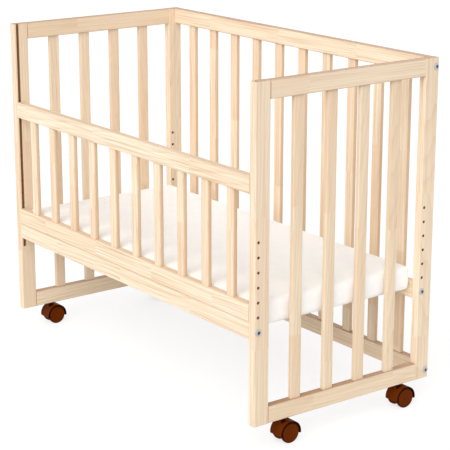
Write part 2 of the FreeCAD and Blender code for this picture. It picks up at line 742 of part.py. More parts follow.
def mattress(name):
    """Foam mattress: crowned across its width, with round corners and soft edges."""
    body = new_body(name)
    length = f"({INNER_LENGTH} - 2 * mattress_end_gap)"
    end_view = new_sketch(body, "YZ_Plane")
    draw_crowned(end_view)
    block = pad(body, end_view, length, symmetric=True)
    document.recompute()
    corners = round_edges(body, block, "mattress_corner", upright_edge)
    tops = round_edges(body, corners, "mattress_top_round", upper_edge)
    body.Tip = round_edges(body, tops, "mattress_foot_round", lower_edge)
    place(body, "0", f"({BASE_REAR_Y} + {BASE_FRONT_Y}) / 2", f"{BASE_RAIL_Z} + rest_gap")
    keep(body, name)


def draw_crowned(sketch):
    """Mattress from its end: flat foot, upright sides and an arched top."""
    width = f"({BASE_SPAN} - panel_thick - 2 * mattress_side_gap)"
    w = NOMINAL["frame_width"] - NOMINAL["post_depth"] - NOMINAL["panel_thick"]
    w -= 2 * NOMINAL["mattress_side_gap"]
    thick = NOMINAL["mattress_thick"]
    crown = NOMINAL["mattress_crown"]
    edge = thick - crown
    left = Vector(-w / 2, 0, 0)
    right = Vector(w / 2, 0, 0)
    left_top = Vector(-w / 2, edge, 0)
    right_top = Vector(w / 2, edge, 0)
    sketch.addGeometry(Part.LineSegment(left, right), False)
    sketch.addGeometry(Part.LineSegment(right, right_top), False)
    sketch.addGeometry(Part.Arc(right_top, Vector(0, thick, 0), left_top), False)
    sketch.addGeometry(Part.LineSegment(left_top, left), False)
    close_outline(sketch, 0, 4)
    sketch.addConstraint(Constraint("Vertical", 1))
    sketch.addConstraint(Constraint("Vertical", 3))
    sketch.addConstraint(Constraint("Equal", 1, 3))
    sketch.addConstraint(Constraint("Symmetric", 0, 1, 0, 2, -1, 1))
    sketch.addConstraint(Constraint("Horizontal", 0))
    size_constraint(sketch, Constraint("DistanceX", 0, 1, 0, 2, w), width)
    level = "mattress_thick - mattress_crown"
    size_constraint(sketch, Constraint("DistanceY", 1, 1, 1, 2, edge), level)
    radius = w * w / (8 * crown) + crown / 2
    arch = f"{width} * {width} / (8 * mattress_crown) + mattress_crown / 2"
    size_constraint(sketch, Constraint("Radius", 2, radius), arch)


def round_edges(body, base, radius, wanted):
    """Round the edges that the test picks."""
    names = []
    for number, edge in enumerate(base.Shape.Edges, start=1):
        if wanted(edge.BoundBox, base.Shape.BoundBox):
            names.append(f"Edge{number}")
    feature = body.newObject("PartDesign::Fillet", "Rounding")
    feature.Base = (base, names)
    bind(feature, "Radius", radius)
    document.recompute()
    return feature


def upright_edge(edge, block):
    """True for an edge that runs straight up the block's whole side; both are bounding boxes."""
    return edge.XLength < 0.01 and edge.YLength < 0.01 and edge.ZLength > block.ZLength / 2


def upper_edge(edge, block):
    """True for an edge of the top outline; both are bounding boxes."""
    middle = block.Center
    level = edge.ZLength < edge.XLength + edge.YLength
    outer = edge.XMin > middle.x or edge.XMax < middle.x or edge.YMin > middle.y or edge.YMax < middle.y
    return level and outer and edge.ZMin > middle.z


def lower_edge(edge, block):
    """True for an edge of the flat foot; both are bounding boxes."""
    return edge.ZMax < block.ZMin + 0.01


# ---------------------------------------------------------------- casters

def caster_sockets(name):
    """Four flanged sockets in the end rails, which hold the swivel stems."""
    sockets = []
    for side in (-1, 1):
        for row in (-1, 1):
            x = f"{side} * {POST_X}"
            y = f"{row} * {CASTER_Y}"
            sleeve = upright_cylinder(x, y, FOOT, "socket_diameter / 2", "socket_depth")
            flange = upright_cylinder(x, y, f"{FOOT} - flange_thick", "flange_diameter / 2", "flange_thick")
            outside = document.addObject("Part::Fuse", "Sleeve")
            outside.Base = sleeve
            outside.Tool = flange
            foot = f"{FOOT} - flange_thick"
            bore_depth = "stem_reach + flange_thick + run_gap"
            bore = upright_cylinder(x, y, foot, "stem_diameter / 2 + run_gap", bore_depth)
            socket = document.addObject("Part::Cut", "Socket")
            socket.Base = outside
            socket.Tool = bore
            sockets.append(socket)
    group(name, sockets)


def upright_cylinder(x, y, z, radius, height):
    """Cylinder standing on the point x, y, z."""
    item = document.addObject("Part::Cylinder", "Cylinder")
    bind(item, "Radius", radius)
    bind(item, "Height", height)
    place(item, x, y, z)
    return item


def caster_hood(name, x, y):
    """Moulded hood: an arched cover over both wheels, a web between them and a boss for the stem.

    Its own origin lies where the swivel axis meets the level of the wheel axis. The cover is
    hollowed after the boss is on it, so the boss ends at the cover's inner face, clear of the wheels.
    """
    body = new_body(name)
    cover = new_sketch(body, "YZ_Plane", u="caster_trail")
    draw_arch(cover)
    pad(body, cover, "hood_width", symmetric=True)
    top = "axle_drop - flange_thick - swivel_gap"
    boss = new_sketch(body, "XY_Plane", out="hood_radius - boss_sink")
    draw_circle(boss, "boss_diameter")
    pad(body, boss, f"{top} - hood_radius + boss_sink")
    hollow = new_sketch(body, "YZ_Plane", u="caster_trail")
    draw_circle(hollow, "hood_bore")
    through(body, hollow)
    web = new_sketch(body, "YZ_Plane", u="caster_trail")
    draw_web(web)
    pad(body, web, "web_thick", symmetric=True)
    stem = new_sketch(body, "XY_Plane", out=top)
    draw_circle(stem, "stem_diameter", gap=True)
    pocket(body, stem, f"{top} - hood_radius + stem_sink + glue_gap")
    axle = new_sketch(body, "YZ_Plane", u="caster_trail")
    draw_circle(axle, "axle_diameter", gap=True)
    body.Tip = through(body, axle)
    place(body, x, y, "wheel_diameter / 2")
    keep(body, name)


def draw_arch(sketch):
    """The hood's outline: an arc about the wheel axis, cut level below it."""
    outer = NOMINAL["hood_radius"]
    drop = NOMINAL["hood_overlap"]
    half = (outer ** 2 - drop ** 2) ** 0.5
    right = Vector(half, -drop, 0)
    left = Vector(-half, -drop, 0)
    sketch.addGeometry(Part.Arc(right, Vector(0, outer, 0), left), False)
    sketch.addGeometry(Part.LineSegment(left, right), False)
    sketch.addConstraint(Constraint("Coincident", 0, 2, 1, 1))
    sketch.addConstraint(Constraint("Coincident", 1, 2, 0, 1))
    sketch.addConstraint(Constraint("Coincident", 0, 3, -1, 1))
    sketch.addConstraint(Constraint("Horizontal", 1))
    size_constraint(sketch, Constraint("Radius", 0, outer), "hood_radius")
    size_constraint(sketch, Constraint("DistanceY", 1, 1, -1, 1, drop), "hood_overlap")


def draw_web(sketch):
    """The hood's web: a disc under the cover's wall, drawn in to a round foot below the axle."""
    outer = (NOMINAL["hood_radius"] + NOMINAL["hood_bore"] / 2) / 2
    foot = NOMINAL["web_radius"]
    right = Vector(outer, 0, 0)
    left = Vector(-outer, 0, 0)
    foot_right = Vector(foot, 0, 0)
    foot_left = Vector(-foot, 0, 0)
    sketch.addGeometry(Part.Arc(right, Vector(0, outer, 0), left), False)
    sketch.addGeometry(Part.LineSegment(left, foot_left), False)
    sketch.addGeometry(Part.Arc(foot_left, Vector(0, -foot, 0), foot_right), False)
    sketch.addGeometry(Part.LineSegment(foot_right, right), False)
    for one, end_one, two, end_two in ((0, 2, 1, 1), (1, 2, 2, 1), (2, 2, 3, 1), (3, 2, 0, 1)):
        sketch.addConstraint(Constraint("Coincident", one, end_one, two, end_two))
    sketch.addConstraint(Constraint("Coincident", 0, 3, -1, 1))
    sketch.addConstraint(Constraint("Coincident", 2, 3, -1, 1))
    for step, end in ((1, 1), (1, 2), (3, 1), (3, 2)):
        sketch.addConstraint(Constraint("PointOnObject", step, end, -1))
    size_constraint(sketch, Constraint("Radius", 0, outer), "(hood_radius + hood_bore / 2) / 2")
    size_constraint(sketch, Constraint("Radius", 2, foot), "web_radius")


def caster_pins(name, x, y):
    """The caster's two steel pins: its swivel stem and its wheel axle, as separate solids."""
    stem_foot = f"{FOOT} - axle_drop + hood_radius - stem_sink"
    stem = upright_cylinder(x, y, stem_foot, "stem_diameter / 2", f"{FOOT} + stem_reach - ({stem_foot})")
    axle = document.addObject("Part::Cylinder", "Axle")
    bind(axle, "Radius", "axle_diameter / 2")
    half = "(web_thick / 2 + wheel_side_gap + wheel_width - wheel_face - run_gap)"
    bind(axle, "Height", f"2 * {half}")
    axle.Placement.Rotation = FreeCAD.Rotation(Vector(0, 1, 0), 90)
    place(axle, f"{x} - {half}", f"{y} + caster_trail", "wheel_diameter / 2")
    group(name, [stem, axle])


def caster_wheel(name, x, y, side):
    """One moulded wheel with a blind bore for the axle, turned about it, tapering towards the web.

    side is +1 for the wheel on the +X side of the web.
    """
    body = new_body(name)
    width = NOMINAL["wheel_width"]
    radius = NOMINAL["wheel_diameter"] / 2
    bore = NOMINAL["axle_diameter"] / 2 + NOMINAL["run_gap"]
    blind = width - NOMINAL["wheel_face"]
    cut = NOMINAL["wheel_ease"]
    tread = NOMINAL["tread_width"]
    core = NOMINAL["wheel_core"] / 2
    corners = (
        (0, bore, "0", "axle_diameter / 2 + run_gap"),
        (blind, bore, "wheel_width - wheel_face", "axle_diameter / 2 + run_gap"),
        (blind, 0, "wheel_width - wheel_face", "0"),
        (width, 0, "wheel_width", "0"),
        (width, radius - cut, "wheel_width", "wheel_diameter / 2 - wheel_ease"),
        (width - cut, radius, "wheel_width - wheel_ease", "wheel_diameter / 2"),
        (width - tread, radius, "wheel_width - tread_width", "wheel_diameter / 2"),
        (0, core, "0", "wheel_core / 2"),
    )
    outline = new_sketch(body, "XZ_Plane")
    count = len(corners)
    for step in range(count):
        here = Vector(corners[step][0], corners[step][1], 0)
        following = corners[(step + 1) % count]
        there = Vector(following[0], following[1], 0)
        outline.addGeometry(Part.LineSegment(here, there), False)
    close_outline(outline, 0, count)
    for step, (drawn_x, drawn_y, along, out) in enumerate(corners):
        fix_corner(outline, step, drawn_x, drawn_y, along, out)
    solid = body.newObject("PartDesign::Revolution", "Turned")
    solid.Profile = outline
    solid.ReferenceAxis = (origin_feature(body, "X_Axis"), [""])
    solid.Angle = 360
    if side < 0:
        turn_about_z(body, 180)
    face = f"{x} + {side} * (web_thick / 2 + wheel_side_gap)"
    place(body, face, f"{y} + caster_trail", "wheel_diameter / 2")
    keep(body, name)


def fix_corner(sketch, corner, drawn_x, drawn_y, along, out):
    """Hold the start of an edge at a distance from both axes, or on the axis where it is 0."""
    if along == "0":
        sketch.addConstraint(Constraint("PointOnObject", corner, 1, -2))
    else:
        size_constraint(sketch, Constraint("DistanceX", -1, 1, corner, 1, drawn_x), along)
    if out == "0":
        sketch.addConstraint(Constraint("PointOnObject", corner, 1, -1))
    else:
        size_constraint(sketch, Constraint("DistanceY", -1, 1, corner, 1, drawn_y), out)


def casters():
    """A caster under each corner: hood, pins and two wheels."""
    for end, side in (("left", -1), ("right", 1)):
        for face, row in (("front", -1), ("rear", 1)):
            name = f"caster_{face}_{end}"
            x = f"{side} * {POST_X}"
            y = f"{row} * {CASTER_Y}"
            caster_hood(f"{name}_hood", x, y)
            caster_pins(f"{name}_pins", x, y)
            caster_wheel(f"{name}_wheel_left", x, y, -1)
            caster_wheel(f"{name}_wheel_right", x, y, 1)


# ---------------------------------------------------------------- assembly

def build():
    """Make every sub-part of the crib."""
    fill_sheet()
    for end, side in (("left", -1), ("right", 1)):
        post(f"front_{end}_post", side, front=True)
        post(f"rear_{end}_post", side, front=False)
        end_rail(f"{end}_end_top_rail", side, top=True)
        end_rail(f"{end}_end_bottom_rail", side, top=False)
        end_slats(f"{end}_end_slats", side)
    rear_rail("rear_top_rail", top=True)
    rear_rail("rear_bottom_rail", top=False)
    rear_slats()
    panel_ends = ((REAR_RAIL_Y, TOP_RAIL_Z), (REAR_RAIL_Y, BOTTOM_RAIL_Z))
    fasteners("rear_panel_bolts", "rear_panel_nuts", panel_ends)
    base_rail("base_front_rail", 1, BASE_FRONT_Y)
    base_rail("base_rear_rail", -1, BASE_REAR_Y)
    base_slats("base_slats")
    fasteners("base_bolts", "base_nuts", ((BASE_FRONT_Y, BASE_RAIL_Z), (BASE_REAR_Y, BASE_RAIL_Z)))
    mattress("mattress")
    front_rail("front_top_rail", top=True)
    front_rail("front_bottom_rail", top=False)
    front_slats()
    guide_pins("front_guide_pins")
    caster_sockets("caster_sockets")
    casters()
    document.recompute()


def check_and_export():
    """Stop on any failed object, then write each sub-part to its own file."""
    for item in document.Objects:
        if "Invalid" in item.State or "Error" in item.State:
            raise RuntimeError(f"{item.Label} ({item.TypeId}) did not compute: {item.State}")
    for item in nodes:
        if item.Shape.isNull() or not item.Shape.isValid():
            raise RuntimeError(f"{item.Label} has no valid shape")
    os.makedirs("parts", exist_ok=True)
    for item in nodes:
        item.Shape.exportStep(f"parts/{item.Label}.step")
        print(f"{item.Label}: {len(item.Shape.Solids)} solids, {item.Shape.Volume / 1000:.1f} cm3")
    print(f"{len(nodes)} nodes")


build()
check_and_export()
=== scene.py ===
"""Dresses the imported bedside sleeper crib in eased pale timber, plastic, steel and a soft mattress.

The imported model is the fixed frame. Every visible node is replaced by a finished piece that has
its shape and place: timbers with eased edges and a grain that runs along them, slats carried along
their length from a rounded outline, a mattress that a cloth simulation fills, and moulded casters.
All sizes are in metres, in the crib's own frame: X along it, -Y towards the bed, Z up from the
floor.
"""

from __future__ import annotations

import json
import logging
import math
from collections.abc import Callable
from dataclasses import dataclass, field
from enum import Enum
from functools import partial

import bmesh
import bpy
import numpy as np
from bpy.types import ID, Material, Mesh, Node, NodeSocket, NodeTree, Object
from mathutils import Euler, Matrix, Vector

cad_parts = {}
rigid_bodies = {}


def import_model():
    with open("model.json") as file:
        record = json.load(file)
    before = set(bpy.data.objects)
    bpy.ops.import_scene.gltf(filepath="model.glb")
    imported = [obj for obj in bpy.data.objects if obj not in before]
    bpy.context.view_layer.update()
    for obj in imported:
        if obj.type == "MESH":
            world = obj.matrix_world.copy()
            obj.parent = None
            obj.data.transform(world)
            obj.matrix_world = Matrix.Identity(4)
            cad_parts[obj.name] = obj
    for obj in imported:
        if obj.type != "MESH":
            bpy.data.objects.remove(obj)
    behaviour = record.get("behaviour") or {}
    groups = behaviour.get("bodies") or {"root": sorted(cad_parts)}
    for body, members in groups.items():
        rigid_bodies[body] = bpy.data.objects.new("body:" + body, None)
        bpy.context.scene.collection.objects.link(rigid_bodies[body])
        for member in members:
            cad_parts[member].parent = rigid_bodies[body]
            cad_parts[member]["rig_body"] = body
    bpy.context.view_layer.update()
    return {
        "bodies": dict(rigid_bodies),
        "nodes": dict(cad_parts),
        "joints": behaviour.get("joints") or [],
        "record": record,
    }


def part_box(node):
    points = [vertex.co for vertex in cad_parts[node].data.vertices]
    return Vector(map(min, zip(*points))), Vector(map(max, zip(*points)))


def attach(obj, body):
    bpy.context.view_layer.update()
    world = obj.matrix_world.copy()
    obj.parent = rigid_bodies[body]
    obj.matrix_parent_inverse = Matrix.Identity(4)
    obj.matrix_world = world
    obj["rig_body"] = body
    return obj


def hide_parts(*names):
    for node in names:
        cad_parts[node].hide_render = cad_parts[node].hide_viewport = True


LOG = logging.getLogger("bedside_crib")
MILLIMETRE = 0.001
HEAD_DIAMETER = 15 * MILLIMETRE
HEAD_HEIGHT = 3 * MILLIMETRE
STEEL_EASE = 0.4 * MILLIMETRE
WELD_DISTANCE = 2e-6
FLAT_ANGLE = math.radians(0.6)
SHARP_ANGLE = math.radians(24)
SEAM_ANGLE = math.radians(40)

# Names of the face attributes that the finishes read. Both carry painted shade: the first on faces
# that look along chosen axes, the second in hollows, on level faces and on rims.
PAINTED_FACE_SHADE = "painted_face_shade"
PAINTED_SHADE = "hollow"

# The Mix node's colour sockets, by number: it has others of the same names.
MIX_COLOURS = (6, 7)
MIX_RESULT = 2

# Kinds of sockets on the shared groups.
VECTOR = "NodeSocketVector"
NUMBER = "NodeSocketFloat"
COLOUR = "NodeSocketColor"

Colour = tuple[float, float, float, float]
Triple = tuple[float, float, float]
Pair = tuple[float, float]
NOWHERE: Triple = (0.0, 0.0, 0.0)


def linear_colour(red: int, green: int, blue: int) -> Colour:
    """Turn a colour as seen on screen, 0 to 255, into the linear values that shaders use."""
    seen = np.array([red, green, blue]) / 255.0
    low = seen / 12.92
    high = ((seen + 0.055) / 1.055) ** 2.4
    values = np.where(seen <= 0.04045, low, high)
    return (float(values[0]), float(values[1]), float(values[2]), 1.0)


class GrainAxis(Enum):
    """The way a timber's grain runs, with the turn that brings that axis upright."""

    ALONG_X = (0.0, -math.pi / 2, 0.0)
    ALONG_Y = (math.pi / 2, 0.0, 0.0)
    ALONG_Z = (0.0, 0.0, 0.0)

    @property
    def number(self) -> int:
        """Return the axis as 0, 1 or 2."""
        return list(GrainAxis).index(self)


class SteelPart(Enum):
    """How a steel piece was worked, with the scale of the fine lines that this left."""

    TURNED = (90.0, 2600.0, 2600.0)
    DRAWN = (2200.0, 2200.0, 120.0)


# ------------------------------------------------------------------ node tools


@dataclass
class NodeBoard:
    """A node tree with short ways to add nodes, join sockets and do sums."""

    tree: NodeTree

    def add(self, kind: str, **settings: object) -> Node:
        """Add a node of a class and set its properties."""
        node = self.tree.nodes.new(kind)
        for name, value in settings.items():
            setattr(node, name, value)
        return node

    def feed(self, socket: NodeSocket, value: object) -> None:
        """Link an input to a socket, or set the input's own value."""
        if isinstance(value, NodeSocket):
            self.tree.links.new(value, socket)
        else:
            socket.default_value = value

    def sum(
        self, operation: str, first: object, second: object = 0.0, third: object = 0.0
    ) -> NodeSocket:
        """Do one Math operation on numbers or sockets."""
        node = self.add("ShaderNodeMath", operation=operation)
        for socket, value in zip(node.inputs, (first, second, third)):
            self.feed(socket, value)
        return node.outputs[0]

    def vector(self, operation: str, first: object, second: object = NOWHERE) -> NodeSocket:
        """Do one Vector Math operation; LENGTH gives a number, the others a vector."""
        node = self.add("ShaderNodeVectorMath", operation=operation)
        self.feed(node.inputs[0], first)
        self.feed(node.inputs[1], second)
        return node.outputs["Value" if operation == "LENGTH" else "Vector"]

    def noise(
        self, place: object, scale: float, detail: float, roughness: float = 0.5
    ) -> NodeSocket:
        """Read a noise, about 0 to 1, with its features in a metre and its finer layers."""
        node = self.add("ShaderNodeTexNoise")
        values = {"Vector": place, "Scale": scale, "Detail": detail, "Roughness": roughness}
        for name, value in values.items():
            self.feed(node.inputs[name], value)
        return node.outputs["Fac"]

    def remap(
        self, value: object, low: float, high: float, to_low: float, to_high: float
    ) -> NodeSocket:
        """Stretch a range of values onto another and hold it there."""
        node = self.add("ShaderNodeMapRange")
        ends = {"From Min": low, "From Max": high, "To Min": to_low, "To Max": to_high}
        for name, end in {"Value": value, **ends}.items():
            self.feed(node.inputs[name], end)
        return node.outputs["Result"]

    def mix(self, share: object, first: object, second: object) -> NodeSocket:
        """Mix two colours by the second one's share."""
        node = self.add("ShaderNodeMix", data_type="RGBA")
        self.feed(node.inputs["Factor"], share)
        for number, colour in zip(MIX_COLOURS, (first, second)):
            self.feed(node.inputs[number], colour)
        return node.outputs[MIX_RESULT]

    def split(self, place: object) -> list[NodeSocket]:
        """Return a vector's X, Y and Z."""
        node = self.add("ShaderNodeSeparateXYZ")
        self.feed(node.inputs[0], place)
        return list(node.outputs)

    def join(self, x: object, y: object) -> NodeSocket:
        """Return two numbers as a vector without a height."""
        node = self.add("ShaderNodeCombineXYZ")
        self.feed(node.inputs[0], x)
        self.feed(node.inputs[1], y)
        return node.outputs[0]

    def place(self) -> NodeSocket:
        """Return the shaded point's place in the piece's own space."""
        return self.add("ShaderNodeTexCoord").outputs["Object"]

    def mark(self, name: str) -> NodeSocket:
        """Return a face's mark, 0 where it has none."""
        return self.add("ShaderNodeAttribute", attribute_name=name).outputs["Fac"]


@dataclass
class PatternGroup:
    """A shared shader group with named inputs and outputs, built once."""

    name: str
    takes: dict[str, str]
    gives: dict[str, str]
    board: NodeBoard = field(init=False)
    given: dict[str, NodeSocket] = field(init=False)

    def __post_init__(self) -> None:
        """Make the empty group with its sockets."""
        tree = bpy.data.node_groups.new(self.name, "ShaderNodeTree")
        for way, sockets in (("INPUT", self.takes), ("OUTPUT", self.gives)):
            for name, kind in sockets.items():
                tree.interface.new_socket(name, in_out=way, socket_type=kind)
        self.board = NodeBoard(tree)
        start = self.board.add("NodeGroupInput")
        self.given = {name: start.outputs[name] for name in self.takes}

    def finish(self, results: dict[str, NodeSocket]) -> None:
        """Join the group's results to its outputs, by name."""
        end = self.board.add("NodeGroupOutput")
        for name, socket in results.items():
            self.board.feed(end.inputs[name], socket)

    def place(self, board: NodeBoard, **values: object) -> Node:
        """Put the group into a material and feed its inputs, by name."""
        node = board.add("ShaderNodeGroup")
        node.node_tree = self.board.tree
        for name, value in values.items():
            board.feed(node.inputs[name], value)
        return node


# ------------------------------------------------------------------ shared patterns


@dataclass(frozen=True)
class SoftwoodPattern:
    """Growth rings, streaks and finger joints of pale glued-up softwood, with the grain upright.

    A noise has a scale along each axis, a range of values that shows, and the share that it brings.
    """

    ring_spacing: float = 0.0042
    ring_bend: float = 5.0
    ring_sharpness: float = 2.6
    ring_share: float = 0.42
    slow: Triple = (14.0, 14.0, 2.2)
    pith_distance: float = 0.075
    pith_depth: float = 0.045
    pith_lean: float = 0.045
    streaks: Triple = (240.0, 240.0, 3.6)
    streak_range: Pair = (0.4, 0.68)
    streak_share: float = 0.7
    streak_roughness: float = 0.62
    pores: Triple = (950.0, 950.0, 16.0)
    pore_range: Pair = (0.56, 0.8)
    pore_share: float = 0.28
    patches: Triple = (22.0, 22.0, 5.0)
    patch_range: Pair = (0.3, 0.75)
    patch_share: float = 0.3
    tooth: float = 0.0035
    tooth_slope: float = 3.0
    board_step: float = 0.737
    tone_power: float = 1.4
    lacquer: Pair = (0.5, 0.62)

    def build(self) -> PatternGroup:
        """Build the group."""
        takes = {"Place": VECTOR, "Board": NUMBER, "Length": NUMBER}
        takes.update({"Pale": COLOUR, "Deep": COLOUR, "Rosy": COLOUR})
        gives = {"Colour": COLOUR, "Roughness": NUMBER, "Height": NUMBER}
        group = PatternGroup("softwood_grain", takes, gives)
        board = group.board
        given = group.given
        tone, moved = self.glued_lengths(board, given)
        late = self.late_wood(board, given["Place"], tone, moved)
        streak_place = board.vector("MULTIPLY", moved, self.streaks)
        streak = board.noise(streak_place, 1.0, 3.0, self.streak_roughness)
        pore = board.noise(board.vector("MULTIPLY", moved, self.pores), 1.0, 1.0)
        patch = board.noise(board.vector("MULTIPLY", moved, self.patches), 1.0, 1.0)
        streak_share = board.remap(streak, *self.streak_range, 0.0, self.streak_share)
        ring_share = board.sum("MULTIPLY", late, self.ring_share)
        pore_share = board.remap(pore, *self.pore_range, 0.0, self.pore_share)
        shade = board.sum("ADD", board.sum("ADD", streak_share, ring_share), pore_share)
        rosy_share = board.sum("POWER", tone, self.tone_power)
        base = board.mix(rosy_share, given["Pale"], given["Rosy"])
        grained = board.mix(board.sum("MINIMUM", shade, 1.0), base, given["Deep"])
        patch_share = board.remap(patch, *self.patch_range, 0.0, self.patch_share)
        varied = board.mix(patch_share, grained, given["Pale"])
        rough = board.remap(streak, 0.3, 0.7, *self.lacquer)
        relief = board.sum("MULTIPLY_ADD", pore, -0.6, board.sum("MULTIPLY", late, 0.5))
        group.finish({"Colour": varied, "Roughness": rough, "Height": relief})
        return group

    def glued_lengths(self, board: NodeBoard, given: dict[str, NodeSocket]) -> tuple:
        """Part the timber into glued-up lengths that meet in teeth.

        A length's number is floor((height + teeth) / length). It gives the length a tone of its
        own, and moves the place that its grain is read from.

        Args:
            board: The group's nodes.
            given: The group's inputs.

        Returns:
            The tone, 0 to 1, and the moved place, as sockets.
        """
        x, y, z = board.split(given["Place"])
        teeth = board.sum("PINGPONG", board.sum("ADD", x, y), self.tooth / 2)
        height = board.sum("MULTIPLY_ADD", teeth, self.tooth_slope, z)
        shifted = board.sum("MULTIPLY_ADD", given["Board"], self.board_step, height)
        number = board.sum("FLOOR", board.sum("DIVIDE", shifted, given["Length"]))
        chance = board.add("ShaderNodeTexWhiteNoise", noise_dimensions="2D")
        board.feed(chance.inputs["Vector"], board.join(number, given["Board"]))
        moved = board.vector("ADD", given["Place"], chance.outputs["Color"])
        return chance.outputs["Value"], moved

    def late_wood(
        self, board: NodeBoard, place: NodeSocket, tone: NodeSocket, moved: NodeSocket
    ) -> NodeSocket:
        """Draw the darker late wood of the rings.

        The ring number is the distance from a leaning pith line over the ring spacing, bent by a
        slow noise, so a face shows long lines that meet in arches.

        Args:
            board: The group's nodes.
            place: The place in the timber.
            tone: The length's tone, which also sets how far off its pith lies.
            moved: The moved place that the noise is read from.

        Returns:
            The late wood's share, 0 to 1.
        """
        x, y, z = board.split(place)
        slow = board.noise(board.vector("MULTIPLY", moved, self.slow), 1.0, 2.0)
        offset = board.remap(tone, 0.0, 1.0, -self.pith_distance, self.pith_distance)
        lean = board.sum("MULTIPLY", z, self.pith_lean)
        east = board.sum("ADD", board.sum("ADD", x, offset), lean)
        north = board.sum("SUBTRACT", y, self.pith_depth)
        distance = board.vector("LENGTH", board.join(east, north))
        ring = board.sum("DIVIDE", distance, self.ring_spacing)
        phase = board.sum("FRACT", board.sum("MULTIPLY_ADD", slow, self.ring_bend, ring))
        return board.sum("POWER", phase, self.ring_sharpness)


@dataclass(frozen=True)
class WeavePattern:
    """A fine plain weave, read from the piece's place so that it needs no unwrapping."""

    thread: float = 0.0011
    cloud_scale: float = 34.0
    cloud_range: Pair = (0.35, 0.7)
    cloud_share: float = 0.7

    def build(self) -> PatternGroup:
        """Build the group.

        The height is sin(x) times sin(y + z) over the thread spacing, which turns its sign on
        every second thread, so threads seem to pass over and under each other.
        """
        takes = {"Place": VECTOR, "Cloth": COLOUR, "Hollow": COLOUR}
        gives = {"Colour": COLOUR, "Height": NUMBER}
        group = PatternGroup("fine_weave", takes, gives)
        board = group.board
        given = group.given
        turn = math.pi / self.thread
        x, y, z = board.split(board.vector("MULTIPLY", given["Place"], (turn, turn, turn)))
        along = board.sum("SINE", x)
        across = board.sum("SINE", board.sum("ADD", y, z))
        height = board.sum("MULTIPLY", along, across)
        cloud = board.noise(given["Place"], self.cloud_scale, 3.0)
        share = board.remap(cloud, *self.cloud_range, 0.0, self.cloud_share)
        colour = board.mix(share, given["Cloth"], given["Hollow"])
        group.finish({"Colour": colour, "Height": height})
        return group


# ------------------------------------------------------------------ finishes


def new_material(name: str) -> tuple[Material, NodeBoard, Node]:
    """Make a material of one Principled BSDF, and return it with its nodes and the shader."""
    material = bpy.data.materials.new(name)
    material.use_nodes = True
    material.node_tree.nodes.clear()
    board = NodeBoard(material.node_tree)
    shader = board.add("ShaderNodeBsdfPrincipled")
    end = board.add("ShaderNodeOutputMaterial")
    board.feed(end.inputs["Surface"], shader.outputs["BSDF"])
    return material, board, shader


def raise_surface(
    board: NodeBoard, shader: Node, height: object, strength: float, depth: float
) -> None:
    """Give a shader relief of a depth in metres, of which a share from 0 to 1 shows."""
    bump = board.add("ShaderNodeBump")
    for name, value in {"Strength": strength, "Distance": depth, "Height": height}.items():
        board.feed(bump.inputs[name], value)
    board.feed(shader.inputs["Normal"], bump.outputs["Normal"])


@dataclass(frozen=True)
class TimberFinish:
    """Pale softwood under a thin clear satin lacquer, with painted shade on marked faces, in holes
    and on level faces.
    """

    pale: Colour = linear_colour(252, 236, 211)
    deep: Colour = linear_colour(212, 178, 142)
    rosy: Colour = linear_colour(240, 208, 177)
    # Painted shade: the colour that marked faces darken towards.
    edge: Colour = linear_colour(204, 173, 141)
    painted_shade_share: float = 0.62
    # Painted shade: the colour that hollows and level faces darken towards.
    hollow: Colour = linear_colour(160, 116, 80)
    shortest: float = 0.23
    longer: float = 0.05
    step: Triple = (0.013, -0.017, 0.171)
    specular: float = 0.3
    relief: float = 0.00012

    def make(self, pattern: PatternGroup, piece: str, axis: GrainAxis, number: int) -> Material:
        """Make one timber's own material.

        Args:
            pattern: The softwood group.
            piece: The piece's name.
            axis: The way its grain runs.
            number: A number of its own, which moves its grain and sets its glued-up lengths.

        Returns:
            The material.
        """
        material, board, shader = new_material(f"timber_{piece}")
        turn = board.add("ShaderNodeMapping")
        board.feed(turn.inputs["Vector"], board.place())
        board.feed(turn.inputs["Rotation"], axis.value)
        board.feed(turn.inputs["Location"], tuple(step * number for step in self.step))
        grain = pattern.place(
            board,
            Place=turn.outputs["Vector"],
            Board=float(number),
            Length=self.shortest + self.longer * (number % 4),
            Pale=self.pale,
            Deep=self.deep,
            Rosy=self.rosy,
        )
        # Painted shade: marked faces darken towards the edge colour, then hollows and level faces
        # towards the hollow colour.
        painted_shade_share = board.sum("MULTIPLY", board.mark(PAINTED_FACE_SHADE), self.painted_shade_share)
        colour = board.mix(painted_shade_share, grain.outputs["Colour"], self.edge)
        colour = board.mix(board.mark(PAINTED_SHADE), colour, self.hollow)
        board.feed(shader.inputs["Base Color"], colour)
        board.feed(shader.inputs["Roughness"], grain.outputs["Roughness"])
        shader.inputs["Specular IOR Level"].default_value = self.specular
        raise_surface(board, shader, grain.outputs["Height"], 0.5, self.relief)
        return material


PALE_TIMBER = TimberFinish()
EVEN_TIMBER = TimberFinish(rosy=linear_colour(247, 225, 197))
# End frames take a lighter, weaker painted shade on marked faces; front slats take a stronger one.
END_TIMBER = TimberFinish(edge=linear_colour(218, 196, 168), painted_shade_share=0.5)
FRONT_SLAT_TIMBER = TimberFinish(
    pale=linear_colour(255, 241, 215), rosy=linear_colour(243, 213, 183), painted_shade_share=0.7
)


@dataclass(frozen=True)
class CoverFinish:
    """White woven cotton cover of the mattress."""

    cloth: Colour = linear_colour(255, 254, 252)
    hollow: Colour = linear_colour(252, 249, 246)
    roughness: float = 0.85
    specular: float = 0.2
    sheen: float = 0.15
    relief: float = 0.0002

    def make(self, weave: PatternGroup) -> Material:
        """Make the cover's material from the weave group."""
        material, board, shader = new_material("mattress_cotton")
        woven = weave.place(board, Place=board.place(), Cloth=self.cloth, Hollow=self.hollow)
        board.feed(shader.inputs["Base Color"], woven.outputs["Colour"])
        shader.inputs["Roughness"].default_value = self.roughness
        shader.inputs["Specular IOR Level"].default_value = self.specular
        shader.inputs["Sheen Weight"].default_value = self.sheen
        raise_surface(board, shader, woven.outputs["Height"], 0.35, self.relief)
        return material


